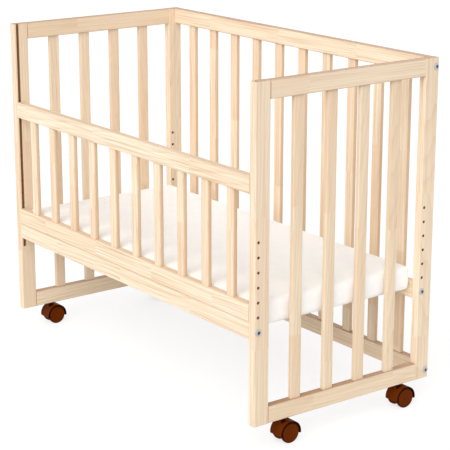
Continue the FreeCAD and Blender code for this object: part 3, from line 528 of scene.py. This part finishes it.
@dataclass(frozen=True)
class PlasticFinish:
    """Satin moulded brown plastic with the faint ripple of a moulding, with painted shade in its
    hollows and on its rims.
    """

    brown: Colour = linear_colour(104, 43, 0)
    dark: Colour = linear_colour(84, 32, 0)
    # Painted shade: the colour of hollows and rims.
    hollow: Colour = linear_colour(34, 10, 0)
    cloud_scale: float = 60.0
    ripple_scale: float = 420.0
    roughness: Pair = (0.36, 0.48)
    specular: float = 0.03
    relief: float = 0.0001

    def make(self) -> Material:
        """Make the plastic's material."""
        material, board, shader = new_material("caster_plastic")
        cloud = board.noise(board.place(), self.cloud_scale, 2.0)
        ripple = board.noise(board.place(), self.ripple_scale, 2.0)
        brown = board.mix(cloud, self.brown, self.dark)
        # Painted shade: marked faces take the hollow colour.
        colour = board.mix(board.mark(PAINTED_SHADE), brown, self.hollow)
        board.feed(shader.inputs["Base Color"], colour)
        board.feed(shader.inputs["Roughness"], board.remap(ripple, 0.3, 0.7, *self.roughness))
        shader.inputs["Specular IOR Level"].default_value = self.specular
        raise_surface(board, shader, ripple, 0.2, self.relief)
        return material


@dataclass(frozen=True)
class SteelFinish:
    """Zinc-plated steel, turned across or drawn along its length, with painted shade in its sockets.
    """

    bright: Colour = linear_colour(208, 210, 213)
    dull: Colour = linear_colour(168, 170, 172)
    # Painted shade: the colour of sockets.
    hollow: Colour = linear_colour(104, 102, 100)
    roughness: Pair = (0.26, 0.42)
    metallic: float = 0.7
    relief: float = 0.00005

    def make(self, part: SteelPart) -> Material:
        """Make the material of steel that was worked in one way."""
        material, board, shader = new_material(f"steel_{part.name.lower()}")
        lines = board.noise(board.vector("MULTIPLY", board.place(), part.value), 1.0, 2.0)
        steel = board.mix(lines, self.bright, self.dull)
        # Painted shade: marked sockets take the hollow colour.
        colour = board.mix(board.mark(PAINTED_SHADE), steel, self.hollow)
        board.feed(shader.inputs["Base Color"], colour)
        board.feed(shader.inputs["Roughness"], board.remap(lines, 0.3, 0.7, *self.roughness))
        shader.inputs["Metallic"].default_value = self.metallic
        raise_surface(board, shader, lines, 0.25, self.relief)
        return material


# ------------------------------------------------------------------ mesh tools


def add_object(name: str, data: ID) -> Object:
    """Add an object with its data to the scene."""
    made = bpy.data.objects.new(name, data)
    bpy.context.scene.collection.objects.link(made)
    return made


def read_points(mesh: Mesh) -> np.ndarray:
    """Return a mesh's points as an array of points by 3."""
    points = np.empty(len(mesh.vertices) * 3, np.float32)
    mesh.vertices.foreach_get("co", points)
    return points.reshape(-1, 3).astype(float)


def face_numbers(mesh: Mesh, name: str) -> np.ndarray:
    """Return each face's normal or center as an array of faces by 3."""
    numbers = np.empty(len(mesh.polygons) * 3, np.float32)
    mesh.polygons.foreach_get(name, numbers)
    return numbers.reshape(-1, 3)


def mark_faces(mesh: Mesh, name: str, values: np.ndarray) -> None:
    """Keep one number for each face, under a name that the finishes read."""
    layer = mesh.attributes.new(name, "FLOAT", "FACE")
    layer.data.foreach_set("value", values.astype(np.float32))


def mark_hollows(mesh: Mesh, level_shade: float, depth: float = 0.0016) -> None:
    """Mark painted shade on the walls of holes: faces whose centre lies at least a depth inside the
    mesh's box.

    Level faces, by the square of their normal along Z, take a share of the same painted shade.
    """
    places = face_numbers(mesh, "center")
    points = read_points(mesh)
    low = points.min(axis=0) + depth
    high = points.max(axis=0) - depth
    inside = np.all((places > low) & (places < high), axis=1)
    level = level_shade * face_numbers(mesh, "normal")[:, 2] ** 2
    mark_faces(mesh, PAINTED_SHADE, np.maximum(inside, level))


def mark_sockets(mesh: Mesh, reach: float = 0.0024) -> None:
    """Mark painted shade in the hexagon sockets of bolts that lie along X: faces near a bolt's axis,
    in its head.

    The bolts of one node stand at the corners of a rectangle seen along X, so each face is
    measured from the nearest low or high axis.

    Args:
        mesh: The bolts' mesh.
        reach: How far from the axis a socket's faces lie.
    """
    points = read_points(mesh)
    low = points.min(axis=0)
    high = points.max(axis=0)
    radius = HEAD_DIAMETER / 2
    places = face_numbers(mesh, "center")
    from_low = np.abs(places[:, 1:] - (low[1:] + radius))
    from_high = np.abs(places[:, 1:] - (high[1:] - radius))
    off_axis = np.linalg.norm(np.minimum(from_low, from_high), axis=1)
    past_post = np.abs(places[:, 0]) > high[0] - HEAD_HEIGHT
    mark_faces(mesh, PAINTED_SHADE, (off_axis < reach) & past_post)


def mark_bore(mesh: Mesh, centre: Vector, radius: float, facing: float = 0.5) -> None:
    """Mark painted shade on a hood's inside and rims: faces nearer to the wheels' axis than its bore,
    or along it.

    The axis lies along X through the centre. A rim's normal has at least the facing share of it.
    """
    places = face_numbers(mesh, "center")
    near = np.hypot(places[:, 1] - centre.y, places[:, 2] - centre.z) < radius
    rims = np.abs(face_numbers(mesh, "normal")[:, 0]) > facing
    mark_faces(mesh, PAINTED_SHADE, near | rims)


def mark_rim(mesh: Mesh, lean: Pair = (0.55, 0.9), shade: float = 0.85) -> None:
    """Mark painted shade on a wheel's outer taper: faces that look partly along its axis, X, and away
    from its web.

    Args:
        mesh: The wheel's mesh.
        lean: How much of the normal lies along X, from and to.
        shade: The mark that these faces take.
    """
    facing = face_numbers(mesh, "normal")[:, 0]
    outside = facing * (face_numbers(mesh, "center")[:, 0] - read_points(mesh)[:, 0].mean())
    leans = (np.abs(facing) > lean[0]) & (np.abs(facing) < lean[1])
    mark_faces(mesh, PAINTED_SHADE, shade * (leans & (outside > 0)))


def mark_shaded_faces(mesh: Mesh, axes: tuple[int, ...]) -> None:
    """Mark painted shade on the faces that look along some axes, by the squares of their normals
    along these.
    """
    normals = face_numbers(mesh, "normal")
    mark_faces(mesh, PAINTED_FACE_SHADE, np.sum(normals[:, list(axes)] ** 2, axis=1))


def grid_mesh(name: str, rings: np.ndarray) -> Object:
    """Make a piece from rings of points, each joined to the next, with its two ends closed.

    Args:
        name: The piece's name.
        rings: The points, as an array of rings by points by 3.

    Returns:
        The piece, in the scene.
    """
    count, around, _ = rings.shape
    number = np.arange(count * around).reshape(count, around)
    following = np.roll(number, -1, axis=1)
    quads = np.stack([number[:-1], following[:-1], following[1:], number[1:]], axis=-1)
    ends = [number[0, ::-1].tolist(), number[-1].tolist()]
    faces = [*quads.reshape(-1, 4).tolist(), *ends]
    mesh = bpy.data.meshes.new(name)
    mesh.from_pydata(rings.reshape(-1, 3), [], faces)
    mesh.shade_smooth()
    mesh.set_sharp_from_angle(angle=SEAM_ANGLE)
    return add_object(name, mesh)


def rounded_outline(width: float, depth: float, radius: float, arc_points: int = 6) -> np.ndarray:
    """Work out a rectangle with round corners, anticlockwise from its right side.

    Args:
        width: The size along the first axis.
        depth: The size along the second axis.
        radius: The corner radius.
        arc_points: Points on each quarter circle.

    Returns:
        The outline's points, as an array of points by 2.
    """
    start = np.array([0.0, 0.5, 1.0, 1.5])[:, None] * math.pi
    angle = start + np.linspace(0, math.pi / 2, arc_points)[None, :]
    centre_x = np.array([1, -1, -1, 1])[:, None] * (width / 2 - radius)
    centre_y = np.array([1, 1, -1, -1])[:, None] * (depth / 2 - radius)
    x = centre_x + radius * np.cos(angle)
    y = centre_y + radius * np.sin(angle)
    return np.stack([x.ravel(), y.ravel()], axis=1)


def straight_bar(name: str, low: Vector, high: Vector, long_axis: int, radius: float) -> Object:
    """Carry a rounded outline along a straight path that fills a box.

    Args:
        name: The piece's name.
        low: The box's lowest corner.
        high: The box's highest corner.
        long_axis: 0, 1 or 2 for a bar along X, Y or Z.
        radius: The rounding of the long edges.

    Returns:
        The bar.
    """
    first, second = [(1, 2), (2, 0), (0, 1)][long_axis]
    size = high - low
    middle = (high + low) / 2
    outline = rounded_outline(size[first], size[second], radius)
    stations = np.array([low[long_axis], high[long_axis]])
    points = np.empty((2, len(outline), 3))
    points[:, :, first] = outline[:, 0] + middle[first]
    points[:, :, second] = outline[:, 1] + middle[second]
    points[:, :, long_axis] = stations[:, None]
    return grid_mesh(name, points)


def solid_boxes(mesh: Mesh, axis: int, gap: float = 0.03) -> list[tuple[Vector, Vector]]:
    """Find the boxes of a mesh's separate solids, which stand in a row.

    Args:
        mesh: The mesh of a group node.
        axis: The axis of the row.
        gap: The least distance between two solids' points along that axis, and the most inside one.

    Returns:
        Lowest and highest corner of each solid, in order along the axis.
    """
    points = read_points(mesh)
    places = np.sort(points[:, axis])
    gaps = np.flatnonzero(np.diff(places) > gap)
    cuts = (places[gaps] + places[gaps + 1]) / 2
    edges = np.concatenate([[-np.inf], cuts, [np.inf]])
    boxes = []
    for low, high in zip(edges[:-1], edges[1:]):
        inside = points[(points[:, axis] > low) & (points[:, axis] < high)]
        boxes.append((Vector(inside.min(axis=0).tolist()), Vector(inside.max(axis=0).tolist())))
    return boxes


def resample_loop(outline: np.ndarray, spacing: float) -> np.ndarray:
    """Spread points evenly along a closed outline, about a spacing apart."""
    closed = np.vstack([outline, outline[:1]])
    steps = np.linalg.norm(np.diff(closed, axis=0), axis=1)
    walked = np.concatenate([[0.0], np.cumsum(steps)])
    count = int(walked[-1] / spacing)
    wanted = np.arange(count) * walked[-1] / count
    coordinates = [np.interp(wanted, walked, closed[:, axis]) for axis in (0, 1)]
    return np.stack(coordinates, axis=1)


def shrink_outline(outline: np.ndarray, size: Vector, inset: float) -> np.ndarray:
    """Draw an outline in on all sides, by an inset from its whole size."""
    scale = np.array([(size.x - 2 * inset) / size.x, (size.y - 2 * inset) / size.y])
    return outline * scale


def apply_modifiers(piece: Object) -> None:
    """Keep what a piece's modifiers make as its own mesh."""
    graph = bpy.context.evaluated_depsgraph_get()
    graph.update()
    made = bpy.data.meshes.new_from_object(piece.evaluated_get(graph))
    piece.modifiers.clear()
    piece.data = made


# ------------------------------------------------------------------ workshop


@dataclass(frozen=True)
class TimberKind:
    """What timbers of one kind share.

    Faces that look along the axes in `edges` take the finish's edge colour as painted shade. With a
    level shade, walls of holes take its hollow colour as painted shade, and level faces take that
    share of it.
    """

    axis: GrainAxis
    finish: TimberFinish
    ease: float
    edges: tuple[int, ...] = ()
    level_shade: float | None = None


@dataclass
class Workshop:
    """The loaded crib with the tools that make, place and finish its pieces."""

    frame: dict
    softwood: PatternGroup
    weave: PatternGroup
    timber_count: int = 0

    def put(self, piece: Object, node: str, material: Material) -> None:
        """Finish a piece that stands for a node, and let it ride on the node's body."""
        body = self.frame["nodes"][node]["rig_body"]
        piece.data.materials.clear()
        piece.data.materials.append(material)
        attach(piece, body)
        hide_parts(node)
        LOG.info("%s stands for %s on %s", piece.name, node, body)

    def put_fitting(
        self,
        node: str,
        word: str,
        material: Material,
        ease: float,
        steps: int = 2,
        mark: Callable[[Mesh], None] | None = None,
    ) -> None:
        """Build a metal or moulded piece that keeps its node's shape.

        Args:
            node: The CAD node that it stands for.
            word: The last word of the piece's name.
            material: Its material.
            ease: The rounding of its edges.
            steps: How many faces each rounding has.
            mark: What marks painted shade in its hollows, if anything does.
        """
        piece = self.eased_copy(node, f"{node}_{word}", ease, steps)
        if mark:
            mark(piece.data)
        self.put(piece, node, material)

    def put_timber(self, node: str, kind: TimberKind) -> None:
        """Build a timber that keeps its node's shape."""
        piece = self.eased_copy(node, f"{node}_timber", kind.ease)
        if kind.level_shade is not None:
            mark_hollows(piece.data, kind.level_shade)
        self.finish_timber(piece, node, kind)

    def put_slat(self, node: str, name: str, box: tuple[Vector, Vector], kind: TimberKind) -> None:
        """Build a slat as a bar with rounded long edges.

        Args:
            node: The CAD node that it stands for, or is one of.
            name: The piece's name.
            box: The lowest and highest corner of the box that it fills.
            kind: Its kind.
        """
        low, high = box
        piece = straight_bar(name, low, high, kind.axis.number, kind.ease)
        self.finish_timber(piece, node, kind)

    def put_slat_row(self, node: str, row_axis: int, kind: TimberKind) -> None:
        """Build the slats of a group node, whose row lies along an axis, each as its own piece.

        The pieces are numbered after the node's name without its last s.
        """
        boxes = solid_boxes(self.frame["nodes"][node].data, row_axis)
        for number, box in enumerate(boxes, start=1):
            self.put_slat(node, f"{node[:-1]}_{number}", box, kind)

    def put_panel(
        self, side: str, rail: TimberKind, slat: TimberKind, slat_count: int = 10
    ) -> None:
        """Build the rails and slats of a long side, the first word of its nodes' names."""
        for level in ("top", "bottom"):
            self.put_timber(f"{side}_{level}_rail", rail)
        for number in range(1, slat_count + 1):
            node = f"{side}_slat_{number}"
            self.put_slat(node, f"{node}_timber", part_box(node), slat)

    def finish_timber(self, piece: Object, node: str, kind: TimberKind) -> None:
        """Mark painted shade on a timber's faces that look along its kind's axes, and give it a grain
        of its own.
        """
        if kind.edges:
            mark_shaded_faces(piece.data, kind.edges)
        self.timber_count += 1
        name = piece.name.removesuffix("_timber")
        material = kind.finish.make(self.softwood, name, kind.axis, self.timber_count)
        self.put(piece, node, material)

    def eased_copy(self, node: str, name: str, ease: float, steps: int = 2) -> Object:
        """Copy a CAD node and round its sharp edges.

        Points closer than the weld distance become one, and flat neighbours are joined first, so
        that the rounding meets whole faces.

        Args:
            node: The node to copy.
            name: The new piece's name.
            ease: The width of the rounding, in metres.
            steps: How many faces each rounding has.

        Returns:
            The copy.
        """
        source = self.frame["nodes"][node].data
        corners = np.empty(len(source.vertices) * 3, np.float32)
        source.vertices.foreach_get("co", corners)
        source.calc_loop_triangles()
        faces = np.empty(len(source.loop_triangles) * 3, np.int32)
        source.loop_triangles.foreach_get("vertices", faces)
        grid = np.round(corners.reshape(-1, 3) / WELD_DISTANCE).astype(np.int64)
        _, first, same = np.unique(grid, axis=0, return_index=True, return_inverse=True)
        merged = same.reshape(-1)[faces].reshape(-1, 3)
        whole = np.all(merged != np.roll(merged, -1, axis=1), axis=1)
        mesh = bpy.data.meshes.new(name)
        mesh.from_pydata(corners.reshape(-1, 3)[first], [], merged[whole])
        shape = bmesh.new()
        shape.from_mesh(mesh)
        parts = {"verts": shape.verts, "edges": shape.edges}
        bmesh.ops.dissolve_limit(shape, angle_limit=FLAT_ANGLE, **parts)
        shape.to_mesh(mesh)
        shape.free()
        mesh.shade_smooth()
        piece = add_object(name, mesh)
        bevel = piece.modifiers.new("eased edges", "BEVEL")
        bevel.width = ease
        bevel.segments = steps
        bevel.limit_method = "ANGLE"
        bevel.angle_limit = SHARP_ANGLE
        bevel.harden_normals = True
        return piece


# ------------------------------------------------------------------ the crib's sub-assemblies


@dataclass
class EndFrames:
    """The two glued end frames: posts, end rails and end slats, with painted shade on their wide
    faces.
    """

    shop: Workshop
    # Painted shade: posts and rails on their wide faces, level faces and holes; slats on every face.
    post: TimberKind = TimberKind(GrainAxis.ALONG_Z, END_TIMBER, 0.9 * MILLIMETRE, (0,), 0.8)
    rail: TimberKind = TimberKind(GrainAxis.ALONG_Y, END_TIMBER, 0.9 * MILLIMETRE, (0,), 0.8)
    slat: TimberKind = TimberKind(GrainAxis.ALONG_Z, END_TIMBER, 1.6 * MILLIMETRE, (0, 1, 2))

    def build(self) -> None:
        """Build and dress both end frames."""
        for end in ("left", "right"):
            for face in ("front", "rear"):
                self.shop.put_timber(f"{face}_{end}_post", self.post)
            for level in ("top", "bottom"):
                self.shop.put_timber(f"{end}_end_{level}_rail", self.rail)
            self.shop.put_slat_row(f"{end}_end_slats", 1, self.slat)


@dataclass
class RearPanel:
    """The tall rear panel with the bolts and barrel nuts that hold it."""

    shop: Workshop
    steel: Material
    # Painted shade: rails on their top and bottom faces and in their holes; slats on their sides
    # along X.
    rail: TimberKind = TimberKind(GrainAxis.ALONG_X, EVEN_TIMBER, 0.9 * MILLIMETRE, (2,), 0.75)
    slat: TimberKind = TimberKind(GrainAxis.ALONG_Z, PALE_TIMBER, 1.6 * MILLIMETRE, (0,))

    def build(self) -> None:
        """Build and dress the rear panel."""
        self.shop.put_panel("rear", self.rail, self.slat)
        for node in ("rear_panel_bolts", "rear_panel_nuts"):
            self.shop.put_fitting(node, "steel", self.steel, STEEL_EASE, mark=mark_sockets)


@dataclass
class FrontPanel:
    """The low front panel, which slides in the posts' grooves on steel pins."""

    shop: Workshop
    steel: Material
    # Painted shade: rails on their top and bottom faces; slats on their sides along X.
    rail: TimberKind = TimberKind(GrainAxis.ALONG_X, EVEN_TIMBER, 0.5 * MILLIMETRE, (2,))
    slat: TimberKind = TimberKind(GrainAxis.ALONG_Z, FRONT_SLAT_TIMBER, 4.0 * MILLIMETRE, (0,))

    def build(self) -> None:
        """Build and dress the front panel."""
        self.shop.put_panel("front", self.rail, self.slat)
        self.shop.put_fitting("front_guide_pins", "steel", self.steel, STEEL_EASE)


@dataclass
class SleepingBase:
    """The slatted base that carries the mattress, with its bolts and barrel nuts."""

    shop: Workshop
    steel: Material
    # Painted shade: rails on their top and bottom faces.
    rail: TimberKind = TimberKind(GrainAxis.ALONG_X, EVEN_TIMBER, 0.5 * MILLIMETRE, (2,))
    slat: TimberKind = TimberKind(GrainAxis.ALONG_Y, PALE_TIMBER, 1.6 * MILLIMETRE)

    def build(self) -> None:
        """Build and dress the base's rails, slats and fasteners."""
        for side in ("front", "rear"):
            self.shop.put_timber(f"base_{side}_rail", self.rail)
        self.shop.put_slat_row("base_slats", 0, self.slat)
        for node in ("base_bolts", "base_nuts"):
            self.shop.put_fitting(node, "steel", self.steel, STEEL_EASE, mark=mark_sockets)


@dataclass
class Mattress:
    """The foam mattress in its cotton cover: a flat slab with soft edges."""

    shop: Workshop
    cover: CoverFinish = CoverFinish()
    shrink: float = 0.8 * MILLIMETRE
    corner: float = 6.0 * MILLIMETRE
    corner_points: int = 10
    spacing: float = 6.0 * MILLIMETRE
    top_round: float = 11.0 * MILLIMETRE
    foot_round: float = 8.0 * MILLIMETRE
    round_rings: int = 7
    foot_reach: float = 0.45
    top_reach: Pair = (0.02, 0.94)
    top_rings: int = 26
    crown: float = 3.0 * MILLIMETRE
    ripple: float = 0.5 * MILLIMETRE
    ripple_waves: tuple[Pair, Pair] = ((47, 18), (9, 61))
    ripple_start: float = 50.0 * MILLIMETRE
    voxel: float = 7.0 * MILLIMETRE
    puff: float = 1.2 * MILLIMETRE
    pressure: float = 4.0
    tension: float = 12.0
    shear: float = 4.0
    bending: float = 0.4
    frames: int = 20

    def build(self) -> None:
        """Build, fill and dress the mattress."""
        piece = self.pad()
        self.fill(piece)
        self.shop.put(piece, "mattress", self.cover.make(self.shop.weave))

    def pad(self) -> Object:
        """Work out the unfilled pad.

        Each ring is the plan's rounded rectangle, drawn in by the profile's inset and set at its
        height. The top has low ripples, a product of two sines, which fade in from its edge.
        """
        low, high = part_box("mattress")
        low = low + Vector((self.shrink, self.shrink, 0.0))
        high = high - Vector((self.shrink, self.shrink, self.shrink))
        size = high - low
        middle = (low + high) / 2
        plan = rounded_outline(size.x, size.y, self.corner, self.corner_points)
        outline = resample_loop(plan, self.spacing)
        inset, height = self.profile(size)
        rings = np.array([shrink_outline(outline, size, value) for value in inset])
        x, y = rings[..., 0], rings[..., 1]
        levels = np.repeat(height[:, None], len(outline), axis=1)
        inner = np.clip((inset - self.top_round) / self.ripple_start, 0.0, 1.0)[:, None]
        inner = inner * (height > size.z - self.crown)[:, None]
        (first_x, first_y), (second_x, second_y) = self.ripple_waves
        waves = np.sin(x * first_x + y * first_y) * np.sin(y * second_y - x * second_x)
        levels = levels + (waves - 1) / 2 * self.ripple * inner + low.z
        points = np.stack([x + middle.x, y + middle.y, levels], axis=-1)
        return grid_mesh("mattress_pad", points)

    def profile(self, size: Vector) -> tuple[np.ndarray, np.ndarray]:
        """Work out the rings' profile, from inside the foot to near the middle of the top.

        It goes round the foot's edge on a quarter circle, up the side, and round the top's edge
        on another. The top then rises by the crown on a quarter of a sine.

        Args:
            size: The pad's size.

        Returns:
            Each ring's inset from the plan's outline, and its height.
        """
        turn = np.linspace(0, math.pi / 2, self.round_rings)
        inward = np.linspace(*self.top_reach, self.top_rings)
        edge = size.z - self.crown
        inset = np.concatenate(
            [
                [size.y * self.foot_reach],
                self.foot_round * (1 - np.sin(turn)),
                self.top_round * (1 - np.cos(turn)),
                self.top_round + inward * (size.y / 2 - self.top_round),
            ]
        )
        height = np.concatenate(
            [
                [0.0],
                self.foot_round * (1 - np.cos(turn)),
                edge - self.top_round * (1 - np.sin(turn)),
                edge + self.crown * np.sin(inward * math.pi / 2),
            ]
        )
        return inset, height

    def fill(self, piece: Object) -> None:
        """Blow the pad up a little as cloth, and hold each point near its start."""
        remesh = piece.modifiers.new("even faces", "REMESH")
        remesh.mode = "VOXEL"
        remesh.voxel_size = self.voxel
        apply_modifiers(piece)
        start = read_points(piece.data)
        cloth = piece.modifiers.new("filling", "CLOTH")
        cloth.settings.use_pressure = True
        cloth.settings.uniform_pressure_force = self.pressure
        cloth.settings.effector_weights.gravity = 0.0
        cloth.settings.tension_stiffness = self.tension
        cloth.settings.shear_stiffness = self.shear
        cloth.settings.bending_stiffness = self.bending
        scene = bpy.context.scene
        for step in range(1, self.frames + 1):
            scene.frame_set(step)
        apply_modifiers(piece)
        scene.frame_set(1)
        moved = read_points(piece.data) - start
        reach = np.linalg.norm(moved, axis=1, keepdims=True)
        capped = start + moved * np.minimum(1.0, self.puff / np.maximum(reach, 1e-9))
        low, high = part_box("mattress")
        held = np.clip(capped, np.array(low), np.array(high))
        piece.data.vertices.foreach_set("co", held.astype(np.float32).ravel())
        piece.data.update()
        piece.data.shade_smooth()
        finer = piece.modifiers.new("finer faces", "SUBSURF")
        finer.levels = 1
        finer.render_levels = 1


@dataclass
class Casters:
    """The four twin-wheel casters and the sockets that hold them."""

    shop: Workshop
    plastic: Material
    steel: Material
    bore_radius: float = 24.2 * MILLIMETRE
    hood_ease: float = 1.2 * MILLIMETRE
    wheel_ease: float = 0.8 * MILLIMETRE
    small_ease: float = 0.3 * MILLIMETRE
    round_steps: int = 3

    def build(self) -> None:
        """Build and dress every caster."""
        for face in ("front", "rear"):
            for end in ("left", "right"):
                self.build_one(f"caster_{face}_{end}")
        self.shop.put_fitting("caster_sockets", "moulding", self.plastic, self.small_ease)

    def build_one(self, caster: str) -> None:
        """Build one caster from the start of its nodes' names."""
        low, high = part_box(f"{caster}_wheel_left")
        # Painted shade: the hood's inside and rims, and the wheels' outer tapers.
        mark_hood = partial(mark_bore, centre=(low + high) / 2, radius=self.bore_radius)
        plastic, steps = self.plastic, self.round_steps
        put = self.shop.put_fitting
        put(f"{caster}_hood", "moulding", plastic, self.hood_ease, steps, mark_hood)
        for side in ("left", "right"):
            put(f"{caster}_wheel_{side}", "moulding", plastic, self.wheel_ease, steps, mark_rim)
        put(f"{caster}_pins", "steel", self.steel, self.small_ease)


# ------------------------------------------------------------------ studio


@dataclass(frozen=True)
class PhotoCamera:
    """The camera, worked out by fitting the crib's known corners to the photograph."""

    place: Triple = (2.8766, -2.1033, 1.3405)
    turn_degrees: Triple = (74.29, 0.0, 53.43)
    lens: float = 125.25
    sensor: float = 36.0
    shift: Pair = (0.0084, 0.0036)

    def build(self) -> None:
        """Add the camera and make it the scene's own."""
        data = bpy.data.cameras.new("camera")
        data.lens = self.lens
        data.sensor_width = self.sensor
        data.shift_x, data.shift_y = self.shift
        data.clip_end = 50.0
        camera = add_object("camera", data)
        camera.location = self.place
        camera.rotation_euler = Euler([math.radians(angle) for angle in self.turn_degrees])
        bpy.context.scene.camera = camera


@dataclass(frozen=True)
class Studio:
    """A white floor and backdrop with soft light from the front, and weaker from behind."""

    ambient: float = 0.6
    front_lamp: tuple[float, Triple] = (2.08, (0.31, -0.435, 0.39))
    rear_lamp: tuple[float, Triple] = (0.8, (-0.45, 0.8, 0.3))
    softness: float = 50.0
    floor_reach: float = 12.0
    floor_white: float = 0.86
    seen_white: float = 0.3
    seen_glow: float = 0.74

    def build(self) -> None:
        """Build the world, the floor and the lamps."""
        bpy.context.scene.view_settings.view_transform = "Standard"
        self.build_world()
        self.build_floor()
        self.build_lamp("front_lamp", *self.front_lamp)
        self.build_lamp("rear_lamp", *self.rear_lamp)

    def build_world(self) -> None:
        """Light the scene evenly, and show plain white behind it."""
        world = bpy.data.worlds.new("studio")
        world.use_nodes = True
        world.node_tree.nodes.clear()
        board = NodeBoard(world.node_tree)
        path = board.add("ShaderNodeLightPath")
        seen = board.sum("MAXIMUM", path.outputs["Is Camera Ray"], path.outputs["Is Glossy Ray"])
        seen = board.sum("MAXIMUM", seen, path.outputs["Is Transmission Ray"])
        strength = board.remap(seen, 0.0, 1.0, self.ambient, 1.0)
        glow = board.add("ShaderNodeBackground")
        board.feed(glow.inputs["Color"], (1.0, 1.0, 1.0, 1.0))
        board.feed(glow.inputs["Strength"], strength)
        end = board.add("ShaderNodeOutputWorld")
        board.feed(end.inputs["Surface"], glow.outputs["Background"])
        bpy.context.scene.world = world

    def build_floor(self) -> None:
        """Add the floor, which looks white and keeps the crib's soft shadow.

        To the camera it is darker and glows by itself, which softens the shadow but not its light
        on the crib.
        """
        material, board, shader = new_material("studio_floor")
        shader.inputs["Roughness"].default_value = 1.0
        shader.inputs["Specular IOR Level"].default_value = 0.0
        path = board.add("ShaderNodeLightPath")
        shader.inputs["Emission Color"].default_value = (1.0, 1.0, 1.0, 1.0)
        seen = path.outputs["Is Camera Ray"]
        grey = board.remap(seen, 0.0, 1.0, self.floor_white, self.seen_white)
        board.feed(shader.inputs["Base Color"], grey)
        board.feed(shader.inputs["Emission Strength"], board.sum("MULTIPLY", seen, self.seen_glow))
        far = self.floor_reach
        mesh = bpy.data.meshes.new("floor")
        corners = [(-far, -far, 0.0), (far, -far, 0.0), (far, far, 0.0), (-far, far, 0.0)]
        mesh.from_pydata(corners, [], [(0, 1, 2, 3)])
        mesh.materials.append(material)
        add_object("floor", mesh)

    def build_lamp(self, name: str, strength: float, towards: Triple) -> None:
        """Add one broad soft lamp, which lights the crib from a direction."""
        data = bpy.data.lights.new(name, "SUN")
        data.energy = strength
        data.angle = math.radians(self.softness)
        lamp = add_object(name, data)
        lamp.rotation_euler = Vector(towards).to_track_quat("Z", "Y").to_euler()


def main() -> None:
    """Build the dressed crib and its studio."""
    logging.basicConfig(level=logging.INFO, format="%(name)s: %(message)s")
    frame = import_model()
    PhotoCamera().build()
    Studio().build()
    shop = Workshop(frame, SoftwoodPattern().build(), WeavePattern().build())
    turned = SteelFinish().make(SteelPart.TURNED)
    drawn = SteelFinish().make(SteelPart.DRAWN)
    EndFrames(shop).build()
    RearPanel(shop, turned).build()
    SleepingBase(shop, turned).build()
    FrontPanel(shop, turned).build()
    Mattress(shop).build()
    Casters(shop, PlasticFinish().make(), drawn).build()


if __name__ == "__main__":
    main()
